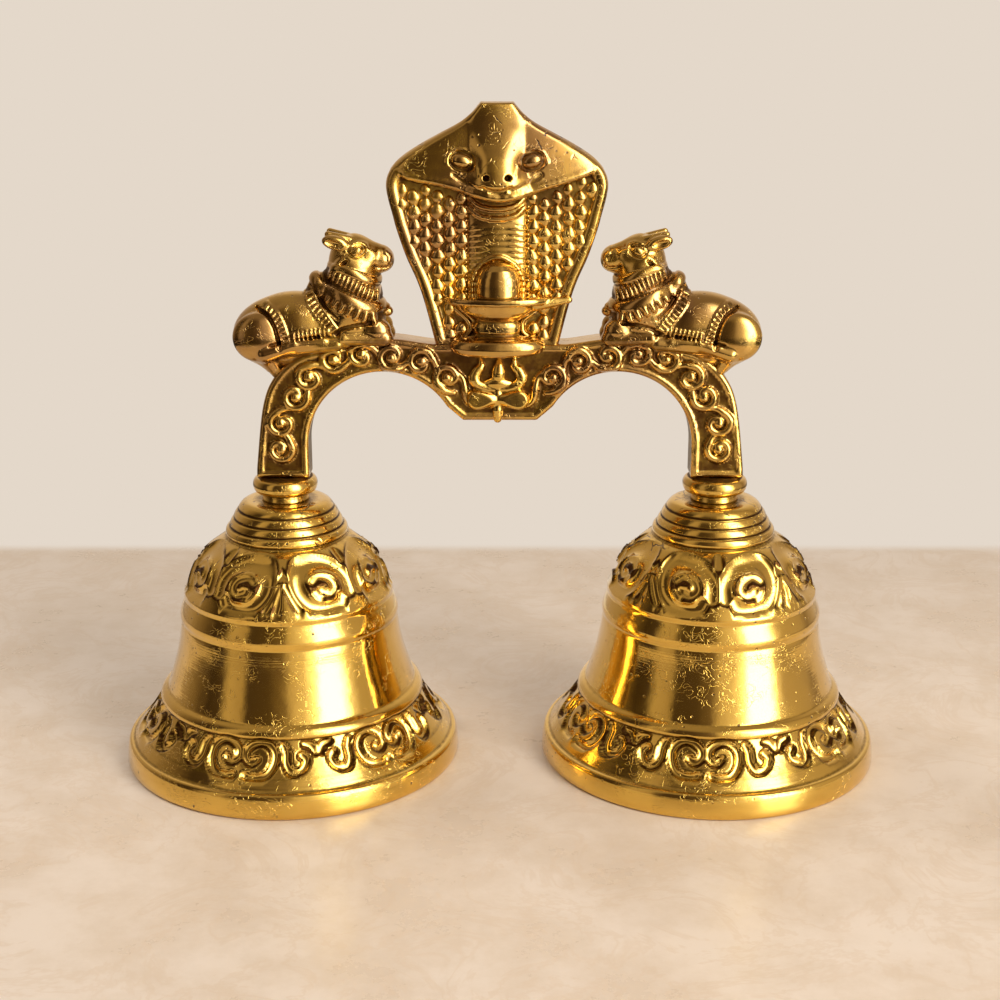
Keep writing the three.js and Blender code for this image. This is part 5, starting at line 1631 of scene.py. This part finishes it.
class DOUBLEBELL_OT_clappers(bpy.types.Operator):
    """Makes the eye bolts, the links and the clappers"""

    bl_idname = "double_bell.clappers"
    bl_label = "Clappers"

    def execute(self, context):
        sizes = context.scene.double_bell_fittings
        colours = context.scene.double_bell_colours
        # Clapper brass stays as it was turned and dulls where it isn't handled
        metal = brass(
            "dull_turned_brass", colours, polish=0.22, dull=0.42, wave=0.1, lathe=0.02, pits=0.3, tint=0.9
        )
        steel = drawn_steel(colours)
        turning, bending = turned_tree(), wire_tree()
        stem_top, stem_foot = FOOT_Z + 8, EYE_Z + EYE_RADIUS
        stem = [
            (0, stem_foot - 0.8, 0), (STEM_RADIUS, stem_foot - 0.8, 0), (STEM_RADIUS, stem_top - 0.4, 0),
            (STEM_RADIUS - 0.4, stem_top, 0), (0, stem_top, 0),
        ]
        angles = np.linspace(-math.pi / 2, math.acos(ROD_RADIUS / BALL_RADIUS), 40)
        ball = [(BALL_RADIUS * math.cos(a), BALL_Z + BALL_RADIUS * math.sin(a), 0) for a in angles]
        rod_top = CLAPPER_EYE_Z - CLAPPER_EYE_RADIUS + 0.6
        ball[0] = (0, BALL_Z - BALL_RADIUS, 0)
        rod = ball + [(ROD_RADIUS, rod_top, 0), (0, rod_top, 0)]
        middle = (LINK_TOP_Z + LINK_BOTTOM_Z) / 2
        straight = (LINK_TOP_Z - LINK_BOTTOM_Z) / 2 - LINK_RADIUS
        for name, side in SIDES:
            axis = side * context.scene.double_bell_bells.spacing / 2
            middle_x = axis / MM
            eye = ring_line(middle_x, EYE_Z, EYE_RADIUS, 0, False)
            bolt = joined(f"eye_bolt_body_{name}", [
                turned_piece("stem", turning, stem, axis, steel, sizes.segments),
                wire_ring("eye", bending, eye, EYE_WIRE, steel),
            ])
            finished(bolt, "root", [f"eye_bolt_{name}"])
            oval = ring_line(middle_x, middle, LINK_RADIUS, straight, True)
            link = wire_ring(f"bent_link_{name}", bending, oval, LINK_WIRE, steel)
            finished(link, f"link_{name}", [f"clapper_link_{name}"])
            hanger = ring_line(middle_x, CLAPPER_EYE_Z, CLAPPER_EYE_RADIUS, 0, False)
            clapper = joined(f"turned_clapper_{name}", [
                turned_piece("rod", turning, rod, axis, metal, sizes.segments),
                wire_ring("hanger", bending, hanger, CLAPPER_WIRE, metal),
            ])
            finished(clapper, f"clapper_{name}", [f"clapper_{name}"])
        return {"FINISHED"}


GROUPS = (
    ("bells", BellSizes), ("castings", CastingSizes), ("fittings", FittingSizes), ("colours", FinishColours),
    ("stage", StageSettings),
)
OPERATORS = (
    DOUBLEBELL_OT_stage, DOUBLEBELL_OT_bells, DOUBLEBELL_OT_bow, DOUBLEBELL_OT_hood, DOUBLEBELL_OT_stand,
    DOUBLEBELL_OT_trident, DOUBLEBELL_OT_bulls, DOUBLEBELL_OT_fittings, DOUBLEBELL_OT_clappers,
)


class DOUBLEBELL_PT_sidebar(bpy.types.Panel):
    """Lists the operators and the sizes and colours that they use"""

    bl_idname = "DOUBLEBELL_PT_sidebar"
    bl_label = "Double bell"
    bl_space_type = "VIEW_3D"
    bl_region_type = "UI"
    bl_category = "Double bell"

    def draw(self, context):
        for operator in OPERATORS:
            self.layout.operator(operator.bl_idname)
        for name, group in GROUPS:
            settings = getattr(context.scene, f"double_bell_{name}")
            box = self.layout.box()
            for key in group.__annotations__:
                box.prop(settings, key)


CLASSES = (*[group for _, group in GROUPS], *OPERATORS, DOUBLEBELL_PT_sidebar)


def register():
    for made in CLASSES:
        bpy.utils.register_class(made)
    for name, group in GROUPS:
        setattr(bpy.types.Scene, f"double_bell_{name}", bpy.props.PointerProperty(type=group))


def unregister():
    for name, _ in GROUPS:
        delattr(bpy.types.Scene, f"double_bell_{name}")
    for made in reversed(CLASSES):
        bpy.utils.unregister_class(made)


def main():
    register()
    for operator in OPERATORS:
        getattr(bpy.ops.double_bell, operator.bl_idname.split(".")[1])()


if __name__ == "__main__":
    main()
